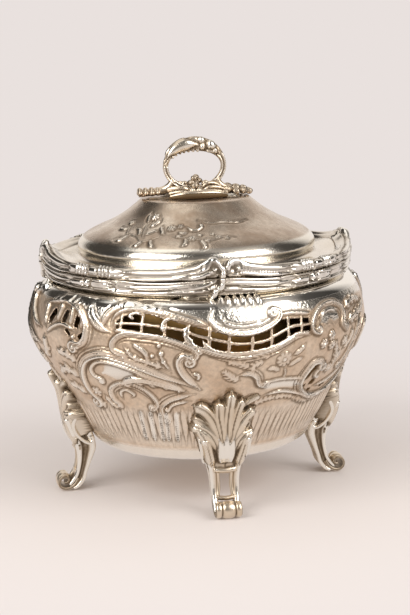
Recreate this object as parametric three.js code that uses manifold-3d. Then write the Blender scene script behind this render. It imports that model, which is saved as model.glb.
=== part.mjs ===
// Covered sugar bowl in silver: a round, waisted bowl on four scroll feet, pierced with a net that
// shows a gilt liner, under a stepped domed lid with an oval ring handle.
// Millimetres, +Z up, feet standing on z = 0. The corners lie on the diagonals of X and Y.
import * as THREE from "three";
import { mergeVertices } from "three/addons/utils/BufferGeometryUtils.js";
import Module from "manifold-3d";

const wasm = await Module();
wasm.setup();

// Clearances
const seatGap = 0.3; // between soldered or resting neighbours
const bezelGap = 0.4; // between the lid's bezel and the liner, at the radius
const linerSpace = 3.2; // least space between the liner and the inside of the bowl
const studGap = 0.3; // round the handle's stud

// Bowl wall, outside: its radius at each station, and the rise from the station below
const sheet = 0.8;
const footClearance = 19.4; // underside of the bowl above the table
const baseRadius = 37;
const heelRise = 2.4;
const heelRadius = 45.5;
const bandRise = 5.2;
const bandRadius = 50;
const waistRise = 19;
const waistRadius = 60;
const shoulderRise = 19;
const shoulderRadius = 71;
const bellyRise = 12;
const bellyRadius = 74.4;
const throatRise = 14.5;
const throatRadius = 70;
const neckRise = 4.3;
const neckRadius = 63.6;
const rimRise = 3.2;
const sideInset = 1.4; // how far the belly is drawn in on the four sides

// Borders of the bowl and of the lid, and the joint between them
const borderDrop = 2.8; // how far the bowl's border hangs below the rim
const borderWidth = 3.8; // how far a border stands out from the neck
const capThickness = 1.3; // border metal over the bowl's rim
const ledgeDrop = 1.4; // depth of the liner's seat below the joint
const ledgeWidth = 2.9;
const jointRise = 1.6; // lift of the joint at each corner
const lidBorderHeight = 4.5;
const lidBorderInset = 1.2; // from the ledge's inner edge out to the lid's border
const lidCuspRise = 3.6; // lift of the lid border's crest at each corner
const cornerReach = 1.3; // extra radius of both borders at each corner
const cuspSpread = THREE.MathUtils.degToRad(13);

// Liner and lid bezel
const linerSheet = 0.7;
const linerFloorRise = 9.6; // liner's floor above the underside of the bowl
const linerFlange = 0.9;
const bezelSheet = 0.9;
const bezelDepth = 7;

// Lid, outside, from its rim inwards and upwards: the run and the rise of each stretch
const lidSheet = 0.8;
const flangeSeat = 2.2; // flange's edge above the joint
const flangeWidth = 5.3;
const flangeDip = 0.6;
const tuckWidth = 4.6;
const tuckRise = 1.3;
const stepOverhang = 2.2;
const stepRise = 4.6;
const slopeRun = 7.6;
const slopeRise = 6.1;
const crownRun = 12.8;
const crownRise = 5.7;
const seatRun = 9.2;
const seatRise = 7.2;
const liftFade = 3; // run inside the flange over which its lift at the corners fades out

// Feet: one pattern, cast four times, measured from the bowl's band and from the table
const toeReach = 6.9; // toe beyond the ankle
const toeHeight = 7.4;
const toeHalfWidth = 5.4;
const soleLength = 4.4;
const heelLift = 2.8;
const ankleReach = 3.1; // ankle beyond the shin
const shinStandOff = 5.9; // shin beyond the bowl's band
const shinHalfWidth = 5.4;
const legThickness = 7.9;
const collarRise = 1.6; // collar of the leg above the bowl's underside
const kneeStandOff = 10.2; // knee beyond the bowl's wall
const kneeRise = 4; // knee above the bowl's band
const kneeHalfWidth = 9.8;
const leafRise = 12.5; // tip of the leaf above the waist
const leafHalfWidth = 15.4;
const leafThickness = 1.9;
const slotWidth = 6.8;
const slotMargin = 0.2; // slot above the toe
const collarThickness = 1.6; // metal over the slot

// Handle and its fixing
const ringHalfWidth = 12.4; // centre line
const ringHalfHeight = 9.8;
const ringTopThickness = 6.2;
const ringSideThickness = 3.2;
const ringDepth = 3.6; // front to back
const mountHeight = 3.4;
const mountRadius = 12;
const bossRadius = 6.4;
const sprayReach = 25.4;
const sprayWidth = 8;
const sprayThickness = 2.2;
const sprigReach = 15; // the two short sprays, front and back
const sprigWidth = 12.8;
const studRadius = 2;
const studGrip = 1.8; // how far the stud enters the handle's mount
const washerRadius = 6.5;
const washerThickness = 1;
const nutRadius = 4.6;
const nutThickness = 3.4;
const studTail = 1.2; // stud beyond the nut

// Piercing: two rows of net cells in a garland round each of the front and back corners, and a
// leaning net with a pierced shell beside it at each of the others. Heights are above the belly.
const netColumns = 8;
const netRows = 2;
const netHeight = 8.2;
const netBar = 1.3;
const netSpan = THREE.MathUtils.degToRad(66);
const garlandRises = [10, 6.5, -1.2, 2, 4]; // centre of the net, evenly spaced along its span
const leaningColumns = 4;
const leaningSpan = THREE.MathUtils.degToRad(34);
const leaningRises = [-13, 7];
const leaningStart = THREE.MathUtils.degToRad(-36);
const shellSlots = 3;
const shellSlotWidth = 3;
const shellSlotHeight = 9;
const shellSlotPitch = THREE.MathUtils.degToRad(5);
const shellStart = THREE.MathUtils.degToRad(26);
const shellRise = 7;

// Heights above the table and radii that follow from the sizes above
const heelHeight = footClearance + heelRise;
const bandHeight = heelHeight + bandRise;
const waistHeight = bandHeight + waistRise;
const shoulderHeight = waistHeight + shoulderRise;
const bellyHeight = shoulderHeight + bellyRise;
const throatHeight = bellyHeight + throatRise;
const neckHeight = throatHeight + neckRise;
const rimHeight = neckHeight + rimRise;
const capHeight = rimHeight + seatGap;
const ledgeHeight = capHeight + capThickness;
const jointHeight = ledgeHeight + ledgeDrop;
const borderFootHeight = rimHeight - borderDrop;
const borderInnerRadius = neckRadius + seatGap;
const borderRadius = borderInnerRadius + borderWidth;
const ledgeWallRadius = neckRadius - seatGap;
const ledgeInnerRadius = ledgeWallRadius - ledgeWidth;
const lidUnderside = jointHeight + seatGap;
const lidBorderInner = ledgeInnerRadius + lidBorderInset;
const linerRadius = ledgeInnerRadius - bezelGap;
const linerFloorHeight = footClearance + linerFloorRise;
const flangeRadius = lidBorderInner - seatGap;
const flangeEdge = lidUnderside + flangeSeat;
const flangeLowRadius = flangeRadius - flangeWidth;
const flangeLow = flangeEdge - flangeDip;
const tuckRadius = flangeLowRadius - tuckWidth;
const tuckHeight = flangeLow + tuckRise;
const stepRadius = tuckRadius + stepOverhang;
const stepHeight = tuckHeight + stepRise;
const slopeRadius = stepRadius - slopeRun;
const slopeHeight = stepHeight + slopeRise;
const crownRadius = slopeRadius - crownRun;
const crownHeight = slopeHeight + crownRise;
const seatRadius = crownRadius - seatRun;
const seatHeight = crownHeight + seatRise;

// Raised scrolls on the wall, each [half width, rise, line]. A line's points are [way round from +X,
// rise above the belly], the way round as measured at the belly. They are set twice, half a turn apart.
const workRoot = 0.6; // how deep raised work is rooted in its sheet
const scrolls = [
  [1.5, 1.1, [[-113, 5], [-113.5, 10], [-108.5, 14], [-102.5, 15], [-90, 14], [-76, 10.5], [-67.5, 8]]],
  [
    1.6,
    1.5,
    [
      [-157, 11], [-143, 14.5], [-131, 13.5], [-124.5, 8.5],
      [-123.5, 3.5], [-124.5, -1], [-128.5, -2.5],
    ],
  ],
  [1.5, 1.5, [[-65, 14.5], [-65.5, 10], [-59, 5.5], [-52.5, 4.5], [-44, 5.5], [-36.5, 9]]],
  [1.4, 1.2, [[-105, -4.5], [-109.5, -1], [-104, 4], [-95, 4], [-84, 2.5], [-74, -2]]],
  [1.2, 1.1, [[-70, -1], [-59.5, -5], [-49.5, -5.5], [-36.5, -2.5], [-21, 0]]],
  [1.4, 1.3, [[-17.5, 1.5], [-17.5, 5.5], [-10.5, 10.5], [-2, 11], [4, 5], [2.5, 1]]],
  [1.8, 1.5, [[-78, -4.5], [-80, -8.5], [-77.5, -13.5], [-72, -19.5]]],
  [
    2,
    1.7,
    [
      [-131, -26], [-133.5, -20.5], [-128.5, -11], [-117, -5.5],
      [-104, -7.5], [-91.5, -12], [-80.5, -16.5],
    ],
  ],
  [1.7, 1.3, [[-111.5, -20.5], [-104, -16.5], [-95.5, -16], [-85.5, -18.5]]],
  [1.2, 1.1, [[-116, -28.5], [-117.5, -22.5], [-108, -18.5], [-98.5, -21], [-93.5, -27.5]]],
  [1.2, 1.1, [[-91.5, -32], [-89.5, -27], [-79, -23]]],
  [
    1.6,
    1.5,
    [
      [-9.5, -13], [-16, -15.5], [-18, -22.5], [-11.5, -28.5],
      [2.5, -30.5], [17, -27.5], [35, -18.5],
    ],
  ],
  [1.1, 1.1, [[11.5, -19], [16, -11], [17.5, -3], [26, 2]]],
  [1.7, 1.8, [[-156, 1], [-165, 4], [-171.5, 10], [-171.5, 14.5]]],
  [1.6, 1.7, [[-158.5, -7], [-169, -3], [-178, 5.5], [-183, 12]]],
  [1.3, 1.2, [[-54.5, -14.5], [-49.5, -13.5], [-45.5, -16]]],
];
// Round bosses on the wall, each [radius, rise, place]: the eyes of scrolls, and a daisy.
const bosses = [
  [2.2, 1.6, [-131, -0.5]],
  [2, 1.4, [-103, -3]],
  [2, 1.5, [-75.5, -5.5]],
  [2.4, 1.8, [-128, -26.5]],
  [1.9, 1.5, [-7, -16.5]],
  [3.6, 1.1, [-33, -8.5]],
  [2.2, 1.6, [-167.5, 13.5]],
];
// Flower spray on the lid, its way round measured at the step and its rise above the step.
const stems = [
  [0.6, 0.7, [[-97.5, 5.5], [-89, 7.5], [-79, 6], [-67.5, 8], [-52.5, 7], [-33.5, 7.5]]],
  [0.6, 0.7, [[-81.5, 7], [-85, 10.5], [-83.5, 13.5]]],
];
const blossoms = [
  [2.4, 1.4, [-83.5, 14]],
  [1.8, 1.1, [-100, 11]],
  [2.7, 1.2, [-67, 10.5]],
  [2.2, 1.1, [-53.5, 7.5]],
  [1.6, 0.9, [-41, 7]],
];

const bowlSteps = 40;
const borderSteps = 56;
const lidSteps = 32;
const linerSteps = 32;

// Shared geometry

const polar = (radius, angle, height) =>
  new THREE.Vector3(radius * Math.cos(angle), radius * Math.sin(angle), height);

// 1 on the diagonals and 0 in the middle of each side.
const towardsCorner = (angle) => (1 - Math.cos(4 * angle)) / 2;

// A narrow peak on each diagonal.
function cusp(angle) {
  const fromCorner = Math.atan2(Math.sin(2 * angle - Math.PI / 2), Math.cos(2 * angle - Math.PI / 2)) / 2;
  const folded = Math.min(Math.abs(fromCorner), Math.PI / 2 - Math.abs(fromCorner));
  return Math.exp(-((folded / cuspSpread) ** 2));
}

// A solid turned from a profile of [radius, height] points, standing on +Z, then moved
// by shift(angle, radius, height), which returns [extra radius, extra height].
function turned(profile, steps, shift) {
  const points = profile.map(([radius, height]) => new THREE.Vector2(radius, height));
  const geometry = new THREE.LatheGeometry(points, steps);
  geometry.rotateX(Math.PI / 2);
  if (shift) {
    const position = geometry.attributes.position;
    for (let i = 0; i < position.count; i++) {
      const angle = Math.atan2(position.getY(i), position.getX(i));
      const radius = Math.hypot(position.getX(i), position.getY(i));
      const [out, up] = shift(angle, radius, position.getZ(i));
      const moved = polar(radius + out, angle, position.getZ(i) + up);
      position.setXYZ(i, moved.x, moved.y, moved.z);
    }
  }
  return geometry;
}

// Closed outline of a sheet: the outer line, then the same line set inwards by its thickness.
function sheetOutline(line, thickness) {
  const inner = line.map((point, i) => {
    const before = line[Math.max(i - 1, 0)];
    const after = line[Math.min(i + 1, line.length - 1)];
    const along = new THREE.Vector2(after[0] - before[0], after[1] - before[1]).normalize();
    return [Math.max(point[0] - along.y * thickness, 0), point[1] + along.x * thickness];
  });
  return [...line, ...inner.reverse()];
}

// Smooth line through a few [radius, height] stations.
function smoothLine(stations, count) {
  const curve = new THREE.SplineCurve(stations.map((station) => new THREE.Vector2(...station)));
  return curve.getPoints(count).map((point) => [point.x, point.y]);
}

// A solid lofted through equal rings of points: a closed loop of them, or a run with flat ends.
function lofted(rings, closed) {
  const size = rings[0].length;
  const index = [];
  const spans = closed ? rings.length : rings.length - 1;
  for (let i = 0; i < spans; i++) {
    const here = i * size;
    const next = ((i + 1) % rings.length) * size;
    for (let j = 0; j < size; j++) {
      const k = (j + 1) % size;
      index.push(here + j, here + k, next + k, here + j, next + k, next + j);
    }
  }
  if (!closed) {
    const last = (rings.length - 1) * size;
    for (const [a, b, c] of capOf(rings[0])) index.push(c, b, a);
    for (const [a, b, c] of capOf(rings.at(-1))) index.push(last + a, last + b, last + c);
  }
  const geometry = new THREE.BufferGeometry().setFromPoints(rings.flat());
  return geometry.setIndex(index);
}

// Triangles that fill one ring, seen so that it turns anticlockwise.
function capOf(ring) {
  const normal = new THREE.Vector3();
  ring.forEach((point, i) => normal.add(point.clone().cross(ring[(i + 1) % ring.length])));
  normal.normalize();
  const side = ring[1].clone().sub(ring[0]).cross(normal).normalize();
  const up = normal.clone().cross(side);
  const flat = ring.map((point) => new THREE.Vector2(point.dot(side), point.dot(up)));
  return THREE.ShapeUtils.triangulateShape(flat, []);
}

function solid(geometry) {
  const bare = geometry.clone();
  bare.deleteAttribute("normal");
  bare.deleteAttribute("uv");
  const merged = mergeVertices(bare, 1e-3);
  return new wasm.Manifold(
    new wasm.Mesh({
      numProp: 3,
      vertProperties: merged.attributes.position.array,
      triVerts: new Uint32Array(merged.index.array),
    }),
  );
}

function geometryOf(manifold) {
  const mesh = manifold.getMesh();
  const geometry = new THREE.BufferGeometry();
  geometry.setAttribute("position", new THREE.BufferAttribute(mesh.vertProperties, 3));
  geometry.setIndex(new THREE.BufferAttribute(mesh.triVerts, 1));
  geometry.computeVertexNormals();
  return geometry;
}

// Bowl wall

const bowlStations = [
  [baseRadius, footClearance],
  [heelRadius, heelHeight],
  [bandRadius, bandHeight],
  [waistRadius, waistHeight],
  [shoulderRadius, shoulderHeight],
  [bellyRadius, bellyHeight],
  [throatRadius, throatHeight],
  [neckRadius, neckHeight],
];
const bowlRim = [neckRadius, rimHeight];
const bowlLine = [...smoothLine(bowlStations, 14), bowlRim];
const fineLine = [...smoothLine(bowlStations, 240), bowlRim];

// Radius of a rising line at a height.
function radiusOn(line, height) {
  const i = line.findIndex((point, n) => n > 0 && point[1] >= height);
  const [low, high] = [line[i - 1], line[i]];
  return THREE.MathUtils.mapLinear(height, low[1], high[1], low[0], high[0]);
}

// Outer radius of the wall at a height, on a corner.
const wallRadius = (height) => radiusOn(fineLine, height);

// The sides are drawn in at the belly, and not at the underside or the neck.
function drawnIn(angle, radius, height) {
  const share = THREE.MathUtils.smoothstep(height, bandHeight, bellyHeight);
  const fade = 1 - THREE.MathUtils.smoothstep(height, bellyHeight, neckHeight - 1);
  const onSide = 1 - towardsCorner(angle);
  return [-sideInset * share * fade * onSide * Math.min(radius / waistRadius, 1), 0];
}

// A point on the turned bowl or lid for raised work, and the way out from it there.
function surfacePoint(line, angle, height, shift) {
  const lean = radiusOn(line, height + workRoot) - radiusOn(line, height - workRoot);
  return {
    point: polar(radiusOn(line, height) + shift, angle, height),
    out: polar(2 * workRoot, angle, -lean).normalize(),
  };
}

function onWall(round, rise) {
  const angle = round / bellyRadius;
  const height = bellyHeight + rise;
  const [shift] = drawnIn(angle, wallRadius(height), height);
  return surfacePoint(bowlLine, angle, height, shift);
}

// A low strip with sloping sides along a line on a surface, grown by a margin.
function raisedStrip([halfWidth, rise, line], onSurface, margin) {
  const curve = new THREE.SplineCurve(line.map(([round, up]) => new THREE.Vector2(round, up)));
  const stations = curve.getPoints(Math.round(line.length * 1.5)).map(({ x, y }) => onSurface(x, y));
  const rings = stations.map(({ point, out }, i) => {
    const before = stations[Math.max(i - 1, 0)].point;
    const after = stations[Math.min(i + 1, stations.length - 1)].point;
    const across = after.clone().sub(before).cross(out).normalize();
    const isEnd = i === 0 || i === stations.length - 1;
    const half = (isEnd ? 0.6 : 1) * halfWidth + margin;
    const at = (side, up) => point.clone().addScaledVector(across, side * half).addScaledVector(out, up);
    return [at(-1, -workRoot), at(-0.5, rise + margin), at(0.5, rise + margin), at(1, -workRoot)];
  });
  return solid(lofted(rings, false));
}

// A low round boss on a surface, grown by a margin.
function raisedBoss([radius, rise, place], onSurface, margin) {
  const { point, out } = onSurface(...place);
  const side = new THREE.Vector3(0, 0, 1).cross(out).normalize();
  const up = out.clone().cross(side);
  const steps = 7;
  const ring = (size, height) =>
    Array.from({ length: steps }, (_, i) => {
      const turn = (i / steps) * 2 * Math.PI;
      return point
        .clone()
        .addScaledVector(side, Math.cos(turn) * (size + margin))
        .addScaledVector(up, Math.sin(turn) * (size + margin))
        .addScaledVector(out, height);
    });
  const rings = [
    ring(radius, -workRoot),
    ring(radius * 0.92, rise * 0.5),
    ring(radius * 0.45, rise + margin),
  ];
  return solid(lofted(rings, false));
}

// Strips and bosses, and the same half a turn on.
function raisedWork(strips, knobs, onSurface, margin) {
  const half = [
    ...strips.map((strip) => raisedStrip(strip, onSurface, margin)),
    ...knobs.map((knob) => raisedBoss(knob, onSurface, margin)),
  ];
  return half.flatMap((piece) => [piece, piece.rotate([0, 0, 180])]);
}

// A cutter through the wall, whose corners are [angle, height].
function wallCutter(corners) {
  const depth = 4;
  const ring = (out) => corners.map(([angle, height]) => polar(wallRadius(height) + out, angle, height));
  return solid(lofted([ring(-depth), ring(depth)], false));
}

// Net cells between two ends, with a centre height for each share of the way along.
function netCutters(start, span, columns, centreAt) {
  const step = span / columns;
  const rowHeight = netHeight / netRows;
  const barAngle = netBar / bellyRadius / 2;
  const cutters = [];
  for (let i = 0; i < columns; i++) {
    const left = start + i * step + barAngle;
    const right = start + (i + 1) * step - barAngle;
    const [leftCentre, rightCentre] = [centreAt(i / columns), centreAt((i + 1) / columns)];
    for (let row = 0; row < netRows; row++) {
      const low = -netHeight / 2 + row * rowHeight + netBar / 2;
      const high = low + rowHeight - netBar;
      cutters.push(
        wallCutter([
          [left, leftCentre + low],
          [right, rightCentre + low],
          [right, rightCentre + high],
          [left, leftCentre + high],
        ]),
      );
    }
  }
  return cutters;
}

function garlandCutters(corner) {
  const line = new THREE.SplineCurve(garlandRises.map((rise, i) => new THREE.Vector2(i, bellyHeight + rise)));
  return netCutters(corner - netSpan / 2, netSpan, netColumns, (share) => line.getPoint(share).y);
}

function leaningCutters(corner) {
  const [low, high] = leaningRises;
  const climb = (share) => bellyHeight + THREE.MathUtils.lerp(low, high, share);
  return netCutters(corner + leaningStart, leaningSpan, leaningColumns, climb);
}

// Slots of the pierced shell, fanned side by side.
function shellCutters(corner) {
  const cutters = [];
  const halfAngle = shellSlotWidth / bellyRadius / 2;
  const halfHeight = shellSlotHeight / 2;
  const shellHeight = bellyHeight + shellRise;
  for (let i = 0; i < shellSlots; i++) {
    const middle = corner + shellStart + i * shellSlotPitch;
    cutters.push(
      wallCutter([
        [middle, shellHeight - halfHeight],
        [middle + halfAngle, shellHeight - halfHeight / 2],
        [middle + halfAngle, shellHeight + halfHeight / 2],
        [middle, shellHeight + halfHeight],
        [middle - halfAngle, shellHeight + halfHeight / 2],
        [middle - halfAngle, shellHeight - halfHeight / 2],
      ]),
    );
  }
  return cutters;
}

function bowlShell() {
  const line = [[0, footClearance], ...bowlLine];
  const wall = solid(turned(sheetOutline(line, sheet), bowlSteps, drawnIn));
  const cutters = [
    ...garlandCutters(-Math.PI / 4),
    ...garlandCutters((3 * Math.PI) / 4),
    ...leaningCutters(Math.PI / 4),
    ...leaningCutters((-3 * Math.PI) / 4),
    ...shellCutters(Math.PI / 4),
    ...shellCutters((-3 * Math.PI) / 4),
  ];
  const pierced = cutters.reduce((body, cutter) => body.subtract(cutter), wall);
  const raised = raisedWork(scrolls, bosses, onWall, 0);
  return geometryOf(raised.reduce((body, piece) => body.add(piece), pierced));
}

// Borders

function bowlBorder() {
  const rise = jointHeight - borderFootHeight;
  const at = (out, up) => [borderInnerRadius + out * borderWidth, borderFootHeight + up * rise];
  const profile = [
    at(0, 0.1),
    at(0.34, 0),
    at(0.7, 0.06),
    at(0.82, 0.25),
    at(0.5, 0.46),
    at(0.56, 0.62),
    at(0.96, 0.78),
    at(1, 1),
    [ledgeWallRadius, jointHeight],
    [ledgeWallRadius, ledgeHeight],
    [ledgeInnerRadius, ledgeHeight],
    [ledgeInnerRadius, capHeight],
    [borderInnerRadius, capHeight],
    at(0, 0.1),
  ];
  const shift = (angle, radius, height) => {
    const moulding = THREE.MathUtils.clamp((radius - borderInnerRadius) / borderWidth, 0, 1);
    const share = THREE.MathUtils.clamp((height - borderFootHeight) / rise, 0, 1);
    const onMoulding = moulding > 0 ? 1 : 0;
    return [cornerReach * moulding * cusp(angle), jointRise * share * onMoulding * cusp(angle)];
  };
  return turned(profile, borderSteps, shift);
}

// Lift of the lid's rim: the underside follows the joint and the crest rises further.
function rimLift(angle, height) {
  const share = THREE.MathUtils.clamp((height - lidUnderside) / lidBorderHeight, 0, 1);
  return cusp(angle) * THREE.MathUtils.lerp(jointRise, lidCuspRise, share);
}

function lidBorder() {
  const width = borderRadius - lidBorderInner;
  const at = (out, up) => [lidBorderInner + out * width, lidUnderside + up * lidBorderHeight];
  const profile = [
    at(0, 0),
    at(0.86, 0),
    at(1, 0.16),
    at(0.95, 0.4),
    at(0.74, 0.52),
    at(0.68, 0.66),
    at(0.76, 0.84),
    at(0.62, 1),
    at(0.4, 0.96),
    at(0.26, 0.76),
    at(0, 0.66),
    at(0, 0),
  ];
  const shift = (angle, radius, height) => {
    const moulding = THREE.MathUtils.clamp((radius - lidBorderInner) / width, 0, 1);
    return [cornerReach * moulding * cusp(angle), rimLift(angle, height)];
  };
  return turned(profile, borderSteps, shift);
}

// Liner: it hangs by its flange from the border's ledge and follows the bowl inside.

function liner() {
  const flangeFoot = ledgeHeight + seatGap;
  const heights = [0, 0.05, 0.13, 0.25, 0.4, 0.58, 0.78].map((share) =>
    THREE.MathUtils.lerp(linerFloorHeight, flangeFoot, share),
  );
  const wall = heights.map((height) => [
    Math.min(linerRadius, wallRadius(height) - sheet - linerSpace),
    height,
  ]);
  wall[0][0] -= linerSpace;
  const inside = wall.map(([radius, height]) => [radius - linerSheet, height + linerSheet]);
  const profile = [
    [0, linerFloorHeight],
    ...wall,
    [linerRadius, flangeFoot],
    [ledgeWallRadius - seatGap, flangeFoot],
    [ledgeWallRadius - seatGap, flangeFoot + linerFlange],
    [linerRadius - linerSheet, flangeFoot + linerFlange],
    ...inside.reverse(),
    [0, linerFloorHeight + linerSheet],
  ];
  return turned(profile, linerSteps);
}

// Lid

const lidStations = [
  [seatRadius, seatHeight],
  [crownRadius, crownHeight],
  [slopeRadius, slopeHeight],
  [stepRadius, stepHeight],
  [tuckRadius, tuckHeight],
  [flangeLowRadius, flangeLow],
  [flangeRadius, flangeEdge],
];

const lidLine = smoothLine(lidStations, 14);
const domeLine = lidLine.filter((point) => point[0] < stepRadius && point[1] > tuckHeight).reverse();

function onDome(round, rise) {
  return surfacePoint([[stepRadius, stepHeight], ...domeLine], round / stepRadius, stepHeight + rise, 0);
}

function lidDome() {
  const bore = studRadius + studGap;
  const line = [[bore, seatHeight], ...lidLine];
  const outline = sheetOutline(line.reverse(), lidSheet);
  const shift = (angle, radius, height) => {
    if (height > stepHeight) return [0, 0];
    const share = THREE.MathUtils.smoothstep(radius, flangeLowRadius - liftFade, flangeRadius);
    return [0, rimLift(angle, flangeEdge) * share];
  };
  const shell = solid(turned([...outline, outline[0]], lidSteps, shift));
  return geometryOf(raisedWork(stems, blossoms, onDome, 0).reduce((body, piece) => body.add(piece), shell));
}

function lidBezel() {
  const radius = linerRadius - linerSheet - bezelGap;
  const top = flangeLow - lidSheet - seatGap;
  const profile = [
    [radius - bezelSheet, top - bezelDepth],
    [radius, top - bezelDepth],
    [radius, top],
    [radius - bezelSheet, top],
    [radius - bezelSheet, top - bezelDepth],
  ];
  return turned(profile, lidSteps);
}

// Feet

const legHeight = footClearance + collarRise;
const kneeHeight = bandHeight + kneeRise;
const leafHeight = waistHeight + leafRise;
const kneeRadius = wallRadius(kneeHeight) + kneeStandOff;
const shinRadius = bandRadius + shinStandOff;
const ankleRadius = shinRadius + ankleReach;
const toeRadius = ankleRadius + toeReach;
const legInnerRadius = shinRadius - legThickness;

// Outline of a foot seen from the side, from the leaf's tip down the front, round the toe,
// and up the back of the leg into the bowl.
function footSide() {
  const shape = new THREE.Path();
  shape.moveTo(wallRadius(leafHeight) + leafThickness * 0.6, leafHeight);
  shape.splineThru([
    new THREE.Vector2(wallRadius(waistHeight) + leafThickness * 1.6, waistHeight),
    new THREE.Vector2(kneeRadius, (waistHeight + kneeHeight) / 2),
    new THREE.Vector2(kneeRadius, kneeHeight),
    new THREE.Vector2((kneeRadius + shinRadius) / 2, (kneeHeight + legHeight) / 2),
    new THREE.Vector2(shinRadius + 0.5, legHeight),
    new THREE.Vector2(shinRadius, legHeight * 0.68),
    new THREE.Vector2(shinRadius + ankleReach * 0.25, legHeight * 0.42),
    new THREE.Vector2(ankleRadius, toeHeight * 0.74),
  ]);
  shape.splineThru([
    new THREE.Vector2(ankleRadius + toeReach * 0.42, toeHeight),
    new THREE.Vector2(ankleRadius + toeReach * 0.85, toeHeight * 0.84),
    new THREE.Vector2(toeRadius, toeHeight * 0.47),
    new THREE.Vector2(ankleRadius + toeReach * 0.86, toeHeight * 0.12),
    new THREE.Vector2(ankleRadius + soleLength, 0),
  ]);
  shape.lineTo(ankleRadius, 0);
  shape.splineThru([
    new THREE.Vector2(shinRadius - ankleReach * 0.5, heelLift),
    new THREE.Vector2((shinRadius - ankleReach * 0.5 + legInnerRadius) / 2, legHeight * 0.46),
    new THREE.Vector2(legInnerRadius, legHeight * 0.72),
    new THREE.Vector2(legInnerRadius - legThickness * 0.45, footClearance),
  ]);
  shape.lineTo(legInnerRadius - legThickness * 0.45, bandHeight);
  shape.lineTo(wallRadius(waistHeight) - legThickness, waistHeight);
  shape.lineTo(wallRadius(leafHeight) - legThickness, leafHeight);
  return shape.getPoints(2);
}

// Outline of a foot seen from in front: half of it, from the sole up to the leaf's tip.
function footHalfFront() {
  const leafTop = leafHeight - kneeHeight;
  return [
    [toeHalfWidth, -1],
    [toeHalfWidth, toeHeight * 0.85],
    [shinHalfWidth, toeHeight * 1.1],
    [shinHalfWidth, legHeight * 0.7],
    [shinHalfWidth + 0.8, legHeight],
    [kneeHalfWidth, bandHeight],
    [kneeHalfWidth + 0.8, kneeHeight + 0.08 * leafTop],
    [leafHalfWidth * 0.94, kneeHeight + 0.24 * leafTop],
    [leafHalfWidth, kneeHeight + 0.4 * leafTop],
    [leafHalfWidth * 0.74, kneeHeight + 0.5 * leafTop],
    [leafHalfWidth * 0.8, kneeHeight + 0.66 * leafTop],
    [leafHalfWidth * 0.62, kneeHeight + 0.83 * leafTop],
    [leafHalfWidth * 0.36, kneeHeight + 0.72 * leafTop],
    [leafHalfWidth * 0.25, kneeHeight + 0.9 * leafTop],
    [leafHalfWidth * 0.1, leafHeight],
  ];
}

// A foot standing towards +X, before it is turned to its corner.
function footCasting() {
  const side = footSide();
  const halfWidth = leafHalfWidth + 1;
  const sections = [-1, -0.55, 0, 0.55, 1].map((share) => {
    const back = 3 * share * share;
    return side.map((point) => {
      const aboveKnee = THREE.MathUtils.smoothstep(point.y, legHeight, kneeHeight);
      return new THREE.Vector3(point.x - back * aboveKnee, share * halfWidth, point.y);
    });
  });
  const half = footHalfFront();
  const front = [...half, ...half.map(([across, height]) => [-across, height]).reverse()];
  const near = legInnerRadius - legThickness * 1.5;
  const far = toeRadius + toeReach;
  const ring = (x) => front.map(([across, height]) => new THREE.Vector3(x, across, height));
  const slotFoot = toeHeight + slotMargin;
  const slotHeight = legHeight - collarThickness - slotFoot;
  const slot = new THREE.BoxGeometry(far - near, slotWidth, slotHeight);
  slot.translate((near + far) / 2, 0, slotFoot + slotHeight / 2);
  return solid(lofted(sections, false))
    .intersect(solid(lofted([ring(near), ring(far)], false)))
    .subtract(solid(slot));
}

// The space that the bowl takes up, with the clearance that a foot keeps to it.
function bowlSpace() {
  const line = bowlLine.map(([radius, height], i) => {
    const below = i < 3 ? seatGap : 0;
    return [radius + seatGap, height - below];
  });
  const profile = [[0, footClearance - seatGap], ...line, [0, rimHeight]];
  return turned(profile, bowlSteps, drawnIn);
}

function foot(corner) {
  const placed = geometryOf(footCasting()).rotateZ(corner);
  const space = [solid(bowlSpace()), ...raisedWork(scrolls, bosses, onWall, seatGap)];
  return geometryOf(space.reduce((body, piece) => body.subtract(piece), solid(placed)));
}

// Handle

const mountFoot = seatHeight + seatGap;
const mountTop = mountFoot + mountHeight;
const ringCentre = mountTop + ringHalfHeight;
const handleAngle = Math.PI / 4; // the ring stands along the diagonal of the side corners

// Rings of points along the oval handle, thicker over the top, grown by a margin.
function handleSections(margin) {
  const steps = 28;
  const sides = 8;
  const sections = [];
  for (let i = 0; i < steps; i++) {
    const turn = (i / steps) * 2 * Math.PI;
    const outward = new THREE.Vector2(Math.cos(turn) * ringHalfHeight, Math.sin(turn) * ringHalfWidth);
    outward.normalize();
    const topShare = Math.max(Math.sin(turn), 0) ** 2;
    const thickness = THREE.MathUtils.lerp(ringSideThickness, ringTopThickness, topShare) / 2 + margin;
    const section = [];
    for (let j = 0; j < sides; j++) {
      const round = (j / sides) * 2 * Math.PI;
      const across = Math.cos(round) * thickness;
      const along = Math.cos(turn) * ringHalfWidth + outward.x * across;
      const height = ringCentre + Math.sin(turn) * ringHalfHeight + outward.y * across;
      const deep = Math.sin(round) * (ringDepth / 2 + margin);
      section.push(new THREE.Vector3(along, deep, height));
    }
    sections.push(section);
  }
  return sections;
}

function handleRing() {
  return lofted(handleSections(0), true).rotateZ(handleAngle);
}

// One flat spray of leaves, from the middle outwards.
function sprayShape(reach, width) {
  const shape = new THREE.Shape();
  shape.moveTo(0, -width * 0.35);
  shape.quadraticCurveTo(reach * 0.55, -width * 0.3, reach * 0.72, -width * 0.5);
  shape.quadraticCurveTo(reach, -width * 0.45, reach, 0);
  shape.quadraticCurveTo(reach, width * 0.45, reach * 0.72, width * 0.5);
  shape.quadraticCurveTo(reach * 0.55, width * 0.3, 0, width * 0.35);
  return shape;
}

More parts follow.
